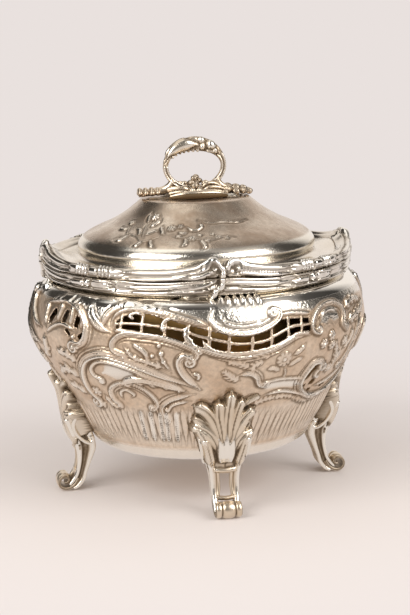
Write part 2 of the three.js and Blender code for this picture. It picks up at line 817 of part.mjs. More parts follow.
function handleMount() {
  const bed = [
    [0, mountFoot],
    [mountRadius, mountFoot],
    [mountRadius, mountFoot + mountHeight * 0.35],
    [bossRadius, mountFoot + mountHeight * 0.6],
    [bossRadius * 0.8, mountTop],
    [0, mountTop],
  ];
  let body = solid(turned(bed, 24));
  const sprays = [
    [0, sprayReach, sprayWidth],
    [Math.PI, sprayReach, sprayWidth],
    [Math.PI / 2, sprigReach, sprigWidth],
    [-Math.PI / 2, sprigReach, sprigWidth],
  ];
  for (const [turn, reach, width] of sprays) {
    const spray = new THREE.ExtrudeGeometry(sprayShape(reach, width), {
      depth: sprayThickness,
      bevelEnabled: false,
      curveSegments: 3,
    });
    body = body.add(solid(spray.rotateZ(turn).translate(0, 0, mountFoot)));
  }
  const stud = studRadius + studGap;
  const socket = new THREE.CylinderGeometry(stud, stud, 2 * (studGrip + studGap), 16);
  socket.rotateX(Math.PI / 2).translate(0, 0, mountFoot);
  const ringSaddle = solid(lofted(handleSections(seatGap), true));
  return geometryOf(body.subtract(solid(socket)).subtract(ringSaddle)).rotateZ(handleAngle);
}

const lidInside = seatHeight - lidSheet;
const washerTop = lidInside - seatGap;
const nutTop = washerTop - washerThickness - seatGap;

function handleStud() {
  const top = mountFoot + studGrip;
  const bottom = nutTop - nutThickness - studTail;
  const stud = new THREE.CylinderGeometry(studRadius, studRadius, top - bottom, 16);
  return stud.rotateX(Math.PI / 2).translate(0, 0, (top + bottom) / 2);
}

// A flat ring round the stud, with as many sides outside as asked for.
function studRing(radius, top, thickness, sides) {
  const shape = new THREE.Shape();
  shape.absarc(0, 0, radius, 0, 2 * Math.PI);
  shape.holes.push(new THREE.Path().absarc(0, 0, studRadius + studGap, 0, 2 * Math.PI));
  const outline = new THREE.Shape(shape.getSpacedPoints(sides).slice(0, sides));
  outline.holes = shape.holes;
  return new THREE.ExtrudeGeometry(outline, { depth: thickness, bevelEnabled: false, curveSegments: 8 })
    .translate(0, 0, top - thickness);
}

// Assembly

const silver = { color: 0xcfc6bb, roughness: 0.28, metalness: 1 };
const gilt = { color: 0x9c7436, roughness: 0.35, metalness: 1 };
const brass = { color: 0xb08d4a, roughness: 0.4, metalness: 1 };

const bowl = new THREE.Group();

function place(name, geometry, finish) {
  const mesh = new THREE.Mesh(geometry, new THREE.MeshStandardMaterial(finish));
  mesh.name = name;
  bowl.add(mesh);
}

place("bowl_shell", bowlShell(), silver);
place("bowl_border", bowlBorder(), silver);
place("foot_front", foot(-Math.PI / 4), silver);
place("foot_right", foot(Math.PI / 4), silver);
place("foot_back", foot((3 * Math.PI) / 4), silver);
place("foot_left", foot((-3 * Math.PI) / 4), silver);
place("liner", liner(), gilt);
place("lid_dome", lidDome(), silver);
place("lid_border", lidBorder(), silver);
place("lid_bezel", lidBezel(), silver);
place("handle_mount", handleMount(), silver);
place("handle_ring", handleRing(), silver);
place("handle_stud", handleStud(), silver);
place("handle_washer", studRing(washerRadius, washerTop, washerThickness, 20), silver);
place("handle_nut", studRing(nutRadius, nutTop, nutThickness, 6), brass);

export default bowl;
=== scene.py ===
# Covered silver sugar bowl over its CAD frame. Sizes are in millimetres until a mesh is made.
import bpy, math
import numpy as np
from mathutils import Matrix, Vector


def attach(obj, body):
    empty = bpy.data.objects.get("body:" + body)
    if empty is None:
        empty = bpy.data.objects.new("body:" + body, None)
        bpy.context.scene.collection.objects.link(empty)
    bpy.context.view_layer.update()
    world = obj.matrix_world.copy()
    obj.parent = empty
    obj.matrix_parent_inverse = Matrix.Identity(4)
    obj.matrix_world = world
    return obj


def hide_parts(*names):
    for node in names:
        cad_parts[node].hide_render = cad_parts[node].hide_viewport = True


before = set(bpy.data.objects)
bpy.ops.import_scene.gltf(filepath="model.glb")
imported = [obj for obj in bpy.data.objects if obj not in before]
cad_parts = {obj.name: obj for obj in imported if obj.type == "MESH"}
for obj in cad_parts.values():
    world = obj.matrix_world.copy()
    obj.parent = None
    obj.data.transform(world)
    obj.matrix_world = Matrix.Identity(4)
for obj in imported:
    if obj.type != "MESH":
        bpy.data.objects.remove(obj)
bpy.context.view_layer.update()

scene = bpy.context.scene
scene.view_settings.view_transform = "Standard"
print("frame loaded")


def deselectAll():
    if bpy.context.object and bpy.context.object.mode != "OBJECT":
        bpy.ops.object.mode_set(mode="OBJECT")
    for thing in list(bpy.context.selected_objects):
        thing.select_set(False)


def pickOnly(piece):
    deselectAll()
    piece.select_set(True)
    bpy.context.view_layer.objects.active = piece


def turned(piece, degrees):  # turns a piece about the axis, in its mesh
    pickOnly(piece)
    piece.rotation_euler = (0, 0, math.radians(degrees))
    bpy.ops.object.transform_apply(location=True, rotation=True, scale=True)


def smoothstep(x, low, high):
    share = np.clip((x - low) / (high - low), 0, 1)
    return share * share * (3 - 2 * share)


def throughPoints(points, perSpan=14):  # a smooth line through a few points
    p = np.array(points, float)
    p = np.vstack([p[:1], p, p[-1:]])
    t = np.linspace(0, 1, perSpan, endpoint=False)[:, None]
    spans = []
    for i in range(len(points) - 1):
        a, b, c, d = p[i:i + 4]
        square, cube = a - 2.5 * b + 2 * c - 0.5 * d, 1.5 * (b - c) + 0.5 * (d - a)
        spans.append(b + 0.5 * (c - a) * t + square * t**2 + cube * t**3)
    return np.vstack(spans + [p[-1:]])


def runOf(line):  # length along a line at each of its points
    return np.concatenate([[0], np.cumsum(np.linalg.norm(np.diff(line, axis=0), axis=1))])


def evenly(line, step, least=3):
    run = runOf(line)
    at = np.linspace(0, run[-1], max(int(run[-1] / step), least) + 1)
    return np.stack([np.interp(at, run, line[:, k]) for k in range(line.shape[1])], 1)


def normalsOf(line):  # to the right of the way along a line
    along = np.gradient(line, axis=0)
    along /= np.maximum(np.linalg.norm(along, axis=1, keepdims=True), 1e-9)
    return np.stack([along[:, 1], -along[:, 0]], 1)


# Camera, set up from the photograph: it stands 0.8 m off, a little above the lid
camera = {
    "turn": 35.0, "distance": 0.8021, "height": 0.23082,
    "yaw": 34.77, "pitch": 10.73, "roll": -1.29, "lens": 107.11}


def makeCamera(c):
    bpy.ops.object.camera_add()
    cam = bpy.context.object
    cam.name = "camera"
    turn, yaw, pitch, roll = (math.radians(c[key]) for key in ("turn", "yaw", "pitch", "roll"))
    forward = Vector((-math.sin(yaw) * math.cos(pitch), math.cos(yaw) * math.cos(pitch),
        -math.sin(pitch)))
    level = Vector((math.cos(yaw), math.sin(yaw), 0))
    upright = level.cross(forward)
    right = level * math.cos(roll) + upright * math.sin(roll)
    up = upright * math.cos(roll) - level * math.sin(roll)
    place = Matrix((right, up, -forward)).transposed().to_4x4()
    place.translation = Vector((math.sin(turn) * c["distance"], -math.cos(turn) * c["distance"],
        c["height"]))
    cam.matrix_world = place
    cam.data.lens = c["lens"]
    cam.data.sensor_fit = "VERTICAL"
    cam.data.sensor_height = 36
    cam.data.clip_start = 0.01
    scene.camera = cam


makeCamera(camera)
print("camera ready")


# Materials

def nodesOf(name):
    material = bpy.data.materials.new(name)
    material.use_nodes = True
    tree = material.node_tree
    shader = next(n for n in tree.nodes if n.type == "BSDF_PRINCIPLED")
    return material, tree, shader


def addNode(tree, kind, **values):
    node = tree.nodes.new(kind)
    for key, value in values.items():
        if hasattr(node, key) and key not in node.inputs:
            setattr(node, key, value)
        else:
            node.inputs[key].default_value = value
    return node


def noiseOn(tree, size, detail=4.0, rough=0.55):  # size of a mottle in millimetres
    place = addNode(tree, "ShaderNodeTexCoord")
    noise = addNode(tree, "ShaderNodeTexNoise", Scale=1000.0 / size, Detail=detail, Roughness=rough)
    tree.links.new(place.outputs["Object"], noise.inputs["Vector"])
    return noise.outputs["Fac"]


def ramp(tree, source, stops):
    node = addNode(tree, "ShaderNodeValToRGB")
    while len(node.color_ramp.elements) < len(stops):
        node.color_ramp.elements.new(0.5)
    for element, (at, colour) in zip(node.color_ramp.elements, stops):
        element.position = at
        element.color = (*colour, 1)
    tree.links.new(source, node.inputs["Fac"])
    return node.outputs["Color"]


def grey(v):
    return (v, v, v)


def blendColours(tree, share, first, second, way="MIX"):
    node = addNode(tree, "ShaderNodeMix", data_type="RGBA", blend_type=way)
    for socket, value in ((node.inputs[0], share), (node.inputs[6], first),
            (node.inputs[7], second)):
        if isinstance(value, bpy.types.NodeSocket):
            tree.links.new(value, socket)
        elif isinstance(value, (int, float)):
            socket.default_value = value
        else:
            socket.default_value = (*value, 1)
    return node.outputs[2]


def sums(tree, way, a, b, clamp=False):
    node = addNode(tree, "ShaderNodeMath", operation=way, use_clamp=clamp)
    for socket, value in ((node.inputs[0], a), (node.inputs[1], b)):
        if isinstance(value, bpy.types.NodeSocket):
            tree.links.new(value, socket)
        else:
            socket.default_value = value
    return node.outputs[0]


wearAndShade = {
    "grainDark": 0.62, "patchy": 0.7, "leastTarnishAndShade": 0.62,  # the grain, and how it breaks up the tarnish and painted shade
    "holeShadeFrom": 1.06, "holeShadeColour": (0.13, 0.07, 0.022),  # past this hollowness the colour is painted near black: painted shade for sunk piercings and dark edges
    "polishGloss": 0.45, "tarnishAndShadeRough": 0.3, "bumpDeep": 0.0002}


# mottled metal; where it is carved, tarnish and painted shade in its hollows, and polish and
# painted highlight on its ridges
def silver(s):
    material, tree, shader = nodesOf(s["name"])
    link = tree.links.new
    mottle = noiseOn(tree, s["mottle"], 5.0, 0.6)
    fine = noiseOn(tree, s["grain"], 3.0, 0.6)
    cloud = ramp(tree, mottle, [(0.35, s["bright"]), (0.68, s["warm"])])
    speckle = ramp(tree, fine, [(0.35, grey(wearAndShade["grainDark"])), (0.65, grey(1.0))])
    cloud = blendColours(tree, s["grainShade"], cloud, speckle, "MULTIPLY")
    rough = sums(tree, "MULTIPLY", mottle, s["roughSpread"])
    rough = sums(tree, "ADD", rough, s["rough"] - 0.5 * s["roughSpread"], not s["carved"])
    if s["carved"]:
        marks = [addNode(tree, "ShaderNodeAttribute", attribute_name=key)
            for key in ("hollow", "ridge")]
        hollow, ridge = (mark.outputs["Fac"] for mark in marks)
        patches = sums(tree, "ADD", sums(tree, "MULTIPLY", fine, wearAndShade["patchy"]), wearAndShade["leastTarnishAndShade"])
        # tarnish in the hollows, and painted shade wherever a piece's hollow mark is set for it
        tarnishAndShade = sums(tree, "MULTIPLY", hollow, patches, True)
        cloud = blendColours(tree, ridge, cloud, s["polishAndHighlight"])
        cloud = blendColours(tree, sums(tree, "MULTIPLY", tarnishAndShade, s["tarnishAndShadeStrength"]), cloud, s["tarnishAndShadeColour"])
        # painted near-black shade past a set hollowness
        pit = sums(tree, "SUBTRACT", hollow, wearAndShade["holeShadeFrom"], True)
        cloud = blendColours(tree, pit, cloud, wearAndShade["holeShadeColour"])
        gloss = sums(tree, "MULTIPLY", ridge, s["rough"] * wearAndShade["polishGloss"])
        rough = sums(tree, "SUBTRACT", rough, gloss)
        rough = sums(tree, "ADD", rough, sums(tree, "MULTIPLY", tarnishAndShade, wearAndShade["tarnishAndShadeRough"]), True)
    link(cloud, shader.inputs["Base Color"])
    link(rough, shader.inputs["Roughness"])
    shader.inputs["Metallic"].default_value = 1.0
    bump = addNode(tree, "ShaderNodeBump", Strength=s["bump"], Distance=wearAndShade["bumpDeep"])
    link(noiseOn(tree, s["pits"], 2.0, 0.5), bump.inputs["Height"])
    link(bump.outputs["Normal"], shader.inputs["Normal"])
    return material


chasedSilver = silver({
    "name": "chasedSilver", "carved": True, "bright": (0.86, 0.71, 0.55),
    "warm": (0.70, 0.53, 0.38), "polishAndHighlight": (0.92, 0.87, 0.78),
    "tarnishAndShadeColour": (0.15, 0.095, 0.05), "tarnishAndShadeStrength": 0.8, "mottle": 14, "grain": 1.9, "grainShade": 0.5,
    "rough": 0.33, "roughSpread": 0.2, "bump": 0.9, "pits": 1.3})
brightSilver = silver({
    "name": "brightSilver", "carved": True, "bright": (0.80, 0.75, 0.67),
    "warm": (0.70, 0.62, 0.52), "polishAndHighlight": (0.92, 0.89, 0.83),
    "tarnishAndShadeColour": (0.13, 0.09, 0.05), "tarnishAndShadeStrength": 0.8, "mottle": 22, "grain": 2.4, "grainShade": 0.12,
    "rough": 0.17, "roughSpread": 0.12, "bump": 0.08, "pits": 1.1})
mattSilver = silver({
    "name": "mattSilver", "carved": True, "bright": (0.73, 0.63, 0.52), "warm": (0.46, 0.35, 0.26),
    "polishAndHighlight": (0.88, 0.83, 0.74),
    "tarnishAndShadeColour": (0.13, 0.09, 0.055), "tarnishAndShadeStrength": 0.75, "mottle": 11, "grain": 1.6, "grainShade": 0.4,
    "rough": 0.27, "roughSpread": 0.24, "bump": 0.3, "pits": 0.6})
castSilver = silver({
    "name": "castSilver", "carved": True, "bright": (0.82, 0.71, 0.57), "warm": (0.70, 0.57, 0.42),
    "polishAndHighlight": (0.90, 0.86, 0.78),
    "tarnishAndShadeColour": (0.13, 0.085, 0.045), "tarnishAndShadeStrength": 0.9, "mottle": 12, "grain": 1.5, "grainShade": 0.2,
    "rough": 0.3, "roughSpread": 0.14, "bump": 0.15, "pits": 0.9})
plainSilver = silver({
    "name": "plainSilver", "carved": False, "bright": (0.80, 0.74, 0.65),
    "warm": (0.68, 0.59, 0.49),
    "mottle": 15, "grain": 2.0, "grainShade": 0.15, "rough": 0.2, "roughSpread": 0.1, "bump": 0.1,
    "pits": 1.0})
dullGilt = silver({
    "name": "dullGilt", "carved": False, "bright": (0.70, 0.45, 0.17), "warm": (0.48, 0.29, 0.10),
    "mottle": 12, "grain": 1.5, "grainShade": 0.3, "rough": 0.35, "roughSpread": 0.15, "bump": 0.15,
    "pits": 0.8})
turnedBrass = silver({
    "name": "turnedBrass", "carved": False, "bright": (0.72, 0.56, 0.30),
    "warm": (0.60, 0.44, 0.22),
    "mottle": 5, "grain": 0.8, "grainShade": 0.2, "rough": 0.3, "roughSpread": 0.1, "bump": 0.2,
    "pits": 0.4})
print("materials ready")


# Chasing: a field is a stretch of wall laid out flat, with the rise of the ornament over it.
# Across is in degrees round the axis or in millimetres, and repeats after a turn if it has one.

chasing = {
    # how closely a stroke's line is followed, and how far past its edge it is felt
    "step": 0.3, "reach": 1.4,
    "thinnest": 0.12, "lowest": 0.25, "fade": 0.6,  # what a tapered end keeps of its width and rise
    "grooveAway": 0.3, "grooveWide": 0.45,
    # the fine line inside a scroll
    "reedFrom": 1.2, "reedAway": 0.75, "reed": 0.42, "reedSpan": (0.16, 0.84),
    "eye": 0.42, "leastEye": 0.5, "eyeRise": 1.15,  # the ball in a volute
    "closeSoot": (0.17, 0.75), "broadSoot": (0.55, 0.3), "ridgeAt": 0.8,
    "frondLean": 48}


def around(radius, turns, height):  # points round the axis
    a = np.radians(turns)
    return np.stack([radius * np.cos(a), radius * np.sin(a), height + 0 * radius], -1)


def newField(line, start, step, count, turn=None, perUnit=None):
    line = np.array(line, float)  # radius and height of each row
    size = (len(line), count)
    per = np.radians(1) * line[:, 0] if perUnit is None else np.full(len(line), float(perUnit))
    return {
        "line": line, "run": runOf(line), "perUnit": per,
        "start": start, "step": step, "count": count, "turn": turn,
        "rise": np.zeros(size), "sink": np.zeros(size), "shine": np.zeros(size),
        "cut": np.full(size, -9.0), "cover": np.full(size, -9.0)}


def halfField(line, columns):  # half the way round: its pattern is set twice
    return newField(line, -137.0, 180 / columns, columns, turn=180)


def tiled(values):
    return np.concatenate([values, values], 1)


def turnsOf(field):  # the angles of a pattern that is set twice
    return field["start"] + np.arange(2 * field["count"]) * field["step"]


def laidOut(field, points, by="height"):  # stroke points on the wall to flat millimetres
    points = np.array(points, float)
    key = field["line"][:, 1] if by == "height" else -field["line"][:, 0]
    along = points[:, 1] if by == "height" else -points[:, 1]
    order = np.argsort(key, kind="stable")
    per = float(np.interp(along, key[order], field["perUnit"][order]).mean())
    return np.stack([points[:, 0] * per, np.interp(along, key[order], field["run"][order])], 1), per


# adds a volute at a line's end, to its left for a radius over 0
def curled(line, radius, turns=1.05):
    along = line[-1] - line[-2]
    along /= np.linalg.norm(along)
    left = np.array([-along[1], along[0]]) * math.copysign(1, radius)
    size = abs(radius)
    swing = np.linspace(0, 2 * math.pi * turns, 22)[1:]
    shrink = np.linspace(1, 0.3, 22)[1:]
    centre = line[-1] + left * size
    circle = np.sin(swing)[:, None] * along - np.cos(swing)[:, None] * left
    spiral = centre + size * shrink[:, None] * circle
    return np.vstack([line, spiral]), centre


def profile(kind, u, v, bend):  # across a stroke u is 0 in the middle and 1 at an edge, v -1 to 1
    arch = np.sqrt(np.clip(1 - u * u, 0, 1))
    if kind in ("rib", "shine"):
        return arch
    if kind == "scroll":  # a strong roll on the outer side of the bend, and finer reeds within it
        w = v * bend
        return arch**0.7 * (
            0.3 + 0.7 * np.exp(-((w - 0.5) / 0.3) ** 2) + 0.34 * np.exp(-((w + 0.2) / 0.14) ** 2)
            + 0.24 * np.exp(-((w + 0.66) / 0.13) ** 2))
    if kind == "leaf":  # veins run along it
        veins, rib = 0.86 + 0.14 * np.cos(4 * math.pi * v), 1 - 0.3 * np.exp(-(v / 0.12) ** 2)
        return arch**0.9 * veins * rib
    if kind == "lobe":  # a broad soft blade with a groove along it
        return arch**0.6 * (1 - 0.3 * np.exp(-((v * bend - 0.16) / 0.13) ** 2))
    if kind == "shield":
        return smoothstep(1 - u, 0, 0.55)
    if kind == "petal":
        return arch * (0.55 + 0.45 * u * u)
    if kind == "dish":  # a raised rim round a hollow
        return smoothstep(1 - u, 0, 0.25) * (0.25 + 0.75 * smoothstep(u, 0.25, 0.8))
    return smoothstep(1 - u, 0, 0.3)


def bendOf(line):  # which way a line curls, as the sum of its turns
    along = np.diff(line, axis=0)
    return (along[:-1, 0] * along[1:, 1] - along[:-1, 1] * along[1:, 0]).sum()


def press(field, line, per, kind, half, rise, ends=(0.3, 0.3), cover=True, groove=0.16):
    line = evenly(line, chasing["step"], 2)
    share = np.linspace(0, 1, len(line))
    swell = np.ones(len(line))
    for way, end in ((share, ends[0]), (1 - share, ends[1])):
        if end > 0:
            swell *= smoothstep(way, -0.12 * end, end)
    halves = half * np.maximum(swell, chasing["thinnest"])
    rises = rise * np.maximum(swell, chasing["lowest"]) ** chasing["fade"]
    side = normalsOf(line)
    pad = half + chasing["reach"]
    low, high = (((edge + room) / per - field["start"]) / field["step"]
                 for edge, room in ((line[:, 0].min(), -pad), (line[:, 0].max(), pad)))
    columns = np.arange(math.ceil(low), math.floor(high) + 1)
    if field["turn"] is None:
        columns = columns[(columns >= 0) & (columns < field["count"])]
    run = field["run"]
    rows = np.nonzero((run > line[:, 1].min() - pad) & (run < line[:, 1].max() + pad))[0]
    if not len(rows) or not len(columns):
        return
    across, up = np.meshgrid((field["start"] + columns * field["step"]) * per, run[rows])
    away = (across[..., None] - line[:, 0]) ** 2 + (up[..., None] - line[:, 1]) ** 2
    near = away.argmin(-1)
    away = np.sqrt(away.min(-1))
    width = halves[near]
    u = np.clip(away / width, 0, 1)
    v = ((across - line[near, 0]) * side[near, 0] + (up - line[near, 1]) * side[near, 1]) / width
    block = np.ix_(rows, columns % field["count"])

    def keepHighest(layer, values):
        field[layer][block] = np.maximum(field[layer][block], values)

    if kind == "hole":
        keepHighest("cut", width - away)
        return
    shape = profile(kind, u, np.clip(v, -1, 1), 1 if bendOf(line) > 0 else -1)
    if kind == "shine":
        keepHighest("shine", shape)
        return
    keepHighest("rise", shape * rises[near])
    beside = (away - width - chasing["grooveAway"]) / chasing["grooveWide"]
    keepHighest("sink", groove * np.exp(-beside ** 2))
    if cover:
        keepHighest("cover", width - away)


def lay(field, kind, half, rise, points, curl=0, startCurl=0, ends=None, by="height", **more):
    flat, per = laidOut(field, points, by)
    line = throughPoints(flat)
    eyes = []
    if curl:
        line, eye = curled(line, curl)
        eyes.append((eye, abs(curl)))
    if startCurl:
        line, eye = curled(line[::-1], startCurl)
        line = line[::-1]
        eyes.append((eye, abs(startCurl)))
    if ends is None:
        ends = (0.0 if startCurl else 0.25, 0.0 if curl else 0.25)
    press(field, line, per, kind, half, rise, ends, **more)
    if kind == "scroll" and half >= chasing["reedFrom"]:
        run = evenly(line, 0.6)
        beside = run - normalsOf(run) * np.sign(bendOf(run)) * (half + chasing["reedAway"])
        keep = slice(*(int(share * len(run)) for share in chasing["reedSpan"]))
        press(field, beside[keep], per, "rib", chasing["reed"], chasing["reed"], (0.3, 0.3),
            cover=False, groove=0.2)
    for eye, size in eyes:
        ball(field, eye, per, max(chasing["eye"] * size, chasing["leastEye"]),
            rise * chasing["eyeRise"])


def ball(field, at, per, size, rise):
    press(field, np.array([at, at + 0.05]), per, "rib", size, rise, (0, 0))


def knob(field, at, size, rise):
    flat, per = laidOut(field, [at])
    ball(field, flat[0], per, size, rise)


def frond(field, points, half, rise, lobes, reach, sides=(1, -1)):  # a stem with leaves along it
    flat, per = laidOut(field, points)
    line = evenly(throughPoints(flat), 0.3)
    side = normalsOf(line)
    lean = math.radians(chasing["frondLean"])
    for i in range(lobes):
        share = (i + 0.6) / (lobes + 0.25)
        n = int(share * (len(line) - 1))
        size = reach * (0.55 + 0.6 * math.sin(math.pi * min(share + 0.15, 1)))
        along = np.array([-side[n, 1], side[n, 0]])
        for hand in sides:
            out = along * math.cos(lean) + side[n] * hand * math.sin(lean)
            tip = along * math.cos(lean * 0.35) + side[n] * hand * math.sin(lean * 0.35)
            end = line[n] + out * size * 0.75 + tip * size * 0.4
            lobe = [line[n], line[n] + out * size * 0.6, end]
            press(field, throughPoints(lobe), per, "leaf", max(size * 0.22, 0.5), rise * 0.8,
                (0.15, 0.45))
    lay(field, "leaf", half, rise, points)


def bloom(field, at, size, petals, rise, by="height"):
    flat, per = laidOut(field, [at], by)
    middle = flat[0]
    for i in range(petals):
        a = 2 * math.pi * i / petals
        out = np.array([math.cos(a), math.sin(a)])
        petal = np.array([middle + out * size * 0.2, middle + out * size * 0.72])
        press(field, petal, per, "petal", size * 1.9 / petals, rise, (0.35, 0), groove=0.1)
    ball(field, middle, per, size * 0.27, rise * 1.25)


def blurred(values, reach, wraps):
    for axis in (0, 1):
        for _ in range(2):
            pad = [(0, 0), (0, 0)]
            pad[axis] = (reach, reach)
            mode = "wrap" if axis == 1 and wraps else "edge"
            totals = np.cumsum(np.pad(values, pad, mode=mode), axis=axis)
            lead = np.take(totals, range(2 * reach, totals.shape[axis]), axis=axis)
            lag = np.take(totals, range(0, totals.shape[axis] - 2 * reach), axis=axis)
            values = (lead - lag) / (2 * reach)
    return values


def settle(field):  # the finished rise, and how hollow or raised each place is
    rise = field["rise"] - field["sink"] * (1 - smoothstep(field["rise"], 0.05, 0.4))
    wraps = field["turn"] is not None
    close, broad = blurred(rise, 2, wraps), blurred(rise, 6, wraps)
    (closeDeep, closeShare), (broadDeep, broadShare) = chasing["closeSoot"], chasing["broadSoot"]
    hollow = np.clip((close - rise) / closeDeep, 0, 1) * closeShare
    field["hollow"] = hollow + np.clip((broad - rise) / broadDeep, 0, 1) * broadShare
    field["ridge"] = np.maximum(np.clip((rise - broad) / chasing["ridgeAt"], 0, 1), field["shine"])
    field["done"] = rise
    field["open"] = np.minimum(field["cut"], -field["cover"])


# A mesh from rows by columns of points
def meshFrom(name, places, hollow, ridge, material, slot, drop=None, wraps=True, flip=False):
    rows = len(places)
    if wraps:
        places = np.concatenate([places, places[:, :1]], 1)
        hollow = np.concatenate([hollow, hollow[:, :1]], 1)
        ridge = np.concatenate([ridge, ridge[:, :1]], 1)
    deselectAll()
    bpy.ops.mesh.primitive_grid_add(x_subdivisions=places.shape[1] - 1, y_subdivisions=rows - 1,
        size=1)
    piece = bpy.context.object
    piece.name = name
    mesh = piece.data
    mesh.name = name
    mesh.vertices.foreach_set("co", (places.reshape(-1, 3) / 1000).astype(np.float32).ravel())
    for key, values in (("hollow", hollow), ("ridge", ridge)):
        mark = mesh.attributes.new(key, "FLOAT", "POINT")
        mark.data.foreach_set("value", values.astype(np.float32).ravel())
    if drop is not None:
        bpy.ops.object.mode_set(mode="EDIT")
        bpy.ops.mesh.select_mode(type="FACE")
        bpy.ops.object.mode_set(mode="OBJECT")
        mesh.polygons.foreach_set("select", drop.ravel())
        bpy.ops.object.mode_set(mode="EDIT")
        bpy.ops.mesh.delete(type="FACE")
    else:
        bpy.ops.object.mode_set(mode="EDIT")
    bpy.ops.mesh.select_mode(type="VERT")
    bpy.ops.mesh.select_all(action="SELECT")
    bpy.ops.mesh.remove_doubles(threshold=0.000002)
    if flip:
        bpy.ops.mesh.flip_normals()
    bpy.ops.object.mode_set(mode="OBJECT")
    bpy.ops.object.shade_smooth()
    mesh.materials.clear()
    mesh.materials.append(material)
    return piece


def thicken(piece, thickness):
    pickOnly(piece)
    wall = piece.modifiers.new("wall", "SOLIDIFY")
    wall.thickness = thickness / 1000
    wall.offset = -1
    bpy.ops.object.modifier_apply(modifier="wall")


# Bowl wall

bowl = {
    "stations": [(37, 19.4), (45.5, 21.8), (50, 27), (60, 46), (71, 65), (74.4, 77), (70, 91.5),
        (63.6, 95.8)],
    "rim": (63.6, 99), "sheet": 0.8, "inset": 1.4, "halfColumns": 540,
    "seams": (19.4, 48, 71.8, 91, 99),  # where the wall is parted into base, field, net and neck
    "pitsBelow": 71.5, "pitDeep": 0.55, "snap": 0.32, "mostMove": 0.3, "open": 0.02,
    "beaded": (-80.6, -76.2, -71.9, -69.4, -65.1),  # flutes with beads
    "floor": [(30, 19.4), (29.4, 19.9), (28.8, 19.4), (12, 19.4), (0, 19.4)],
    "floorEdge": (35.6, 20.2)}


def bowlRadii(heights):
    line = np.vstack([throughPoints(bowl["stations"], 60), bowl["rim"]])
    return np.interp(heights, line[:, 1], line[:, 0])


def drawnIn(angle, radius, height):  # the sides are drawn in between the corners
    onSide = (1 + np.cos(4 * np.radians(angle))) / 2
    share = smoothstep(height, 27, 77) * (1 - smoothstep(height, 77, 94.8))
    return -bowl["inset"] * share * onSide * np.minimum(radius / 60, 1)


wallHeights = np.concatenate([np.arange(19.4, 30.9, 0.95), np.arange(31, 48, 0.56),
    np.linspace(48, 91, 104), np.linspace(91.8, 99, 10)])
wallHeights = np.unique(np.round(wallHeights, 3))
wallField = halfField(np.stack([bowlRadii(wallHeights), wallHeights], 1), bowl["halfColumns"])


def chaseWall(f):
    # netting: the openings, then its bars and rails
    net = {
        "top": [(-83.5, 82), (-83, 85.5), (-80, 88.3), (-75, 89.6), (-71, 89.5), (-66, 88.3),
            (-60, 85.8), (-55, 84.5), (-50, 82.7), (-45, 80.9), (-40, 80.3), (-36, 80.6),
            (-32, 81.5), (-29, 83.5), (-27, 85.2), (-20, 84.8), (-15, 84.2)],
        "middle": [(-83.5, 84.8), (-77, 85.5), (-70, 85.0), (-61, 83.6), (-55, 81.0), (-48, 78.8),
            (-42, 77.1), (-34, 77.3), (-30, 79.0), (-25, 81.2), (-21.5, 81.9), (-14, 81.4)],
        "bottom": [(-84, 82.3), (-80, 82.3), (-73, 81.5), (-65, 79.5), (-56, 76.5), (-51, 75),
            (-45, 73.3), (-38.5, 73.2), (-31, 74.3), (-24, 77.3), (-21, 78.5), (-15.5, 78.2)],
        "bars": [(-81.2, 0), (-73.6, 0), (-65.8, 0), (-51.6, 0), (-45.3, 0), (-37.7, 0), (-31, 0),
            (-24.5, 0), (-19, 0)]}
    top, bottom = (throughPoints(net[key]) for key in ("top", "bottom"))
    for a in np.arange(-82.5, -15, 0.9):
        high = float(np.interp(a, top[:, 0], top[:, 1]))
        low = float(np.interp(a, bottom[:, 0], bottom[:, 1]))
        lay(f, "hole", 0.7, 0, [(a, low + 0.7), (a, high - 0.7)], ends=(0, 0))
    lay(f, "flat", 0.62, 0.25, net["middle"], ends=(0, 0), groove=0)
    for a, _ in net["bars"]:
        lay(f, "flat", 0.68, 0.25, [(a - 0.3, float(np.interp(a, bottom[:, 0], bottom[:, 1])) - 1),
            (a, 80), (a + 0.3, float(np.interp(a, top[:, 0], top[:, 1])) + 1)][::2], ends=(0, 0),
            groove=0)
    lay(f, "rib", 0.9, 0.6, net["bottom"], ends=(0.02, 0.02))
    # shell piercing under the big scroll at the left
    for points, half in (([(-114.5, 82), (-112, 86)], 1.7), ([(-106.3, 83.7), (-105, 86.6)], 1.5),
            ([(-99.8, 82.2), (-99, 86.3)], 1.5), ([(-98, 77.6), (-96.8, 78.6)], 1.1),
            ([(-103, 78.2), (-104.5, 79.6)], 0.9)):
        lay(f, "hole", half, 0, points, ends=(0, 0))
    # piercing beside the crescent and its lattice
    for points, half in (([(-6.8, 61.4), (-9.2, 59.6), (-10.8, 57.2), (-11.2, 55.0)], 1.7),
            ([(-11.2, 53.2), (-10.4, 51.8)], 1.2), ([(-7.6, 50.2), (-5.0, 49.6)], 0.9),
            ([(-8.4, 53.6), (-4.6, 53.4)], 1.5), ([(0.6, 49.8), (5.6, 50.8)], 0.9),
            ([(7.4, 51.2), (11.6, 53.2)], 0.9), ([(13.4, 54.0), (18.6, 57.2)], 0.9)):
        lay(f, "hole", half, 0, points, ends=(0.2, 0.2))
    for i in range(4):
        for j in range(3):
            a, z = 17.5 + 2.3 * i - 2.6 * j, 56.5 + 5.0 * i + 3.6 * j
            lay(f, "hole", 1.05, 0, [(a - 0.5, z - 1.0), (a + 0.5, z + 1.0)], ends=(0, 0))


chaseWall(wallField)


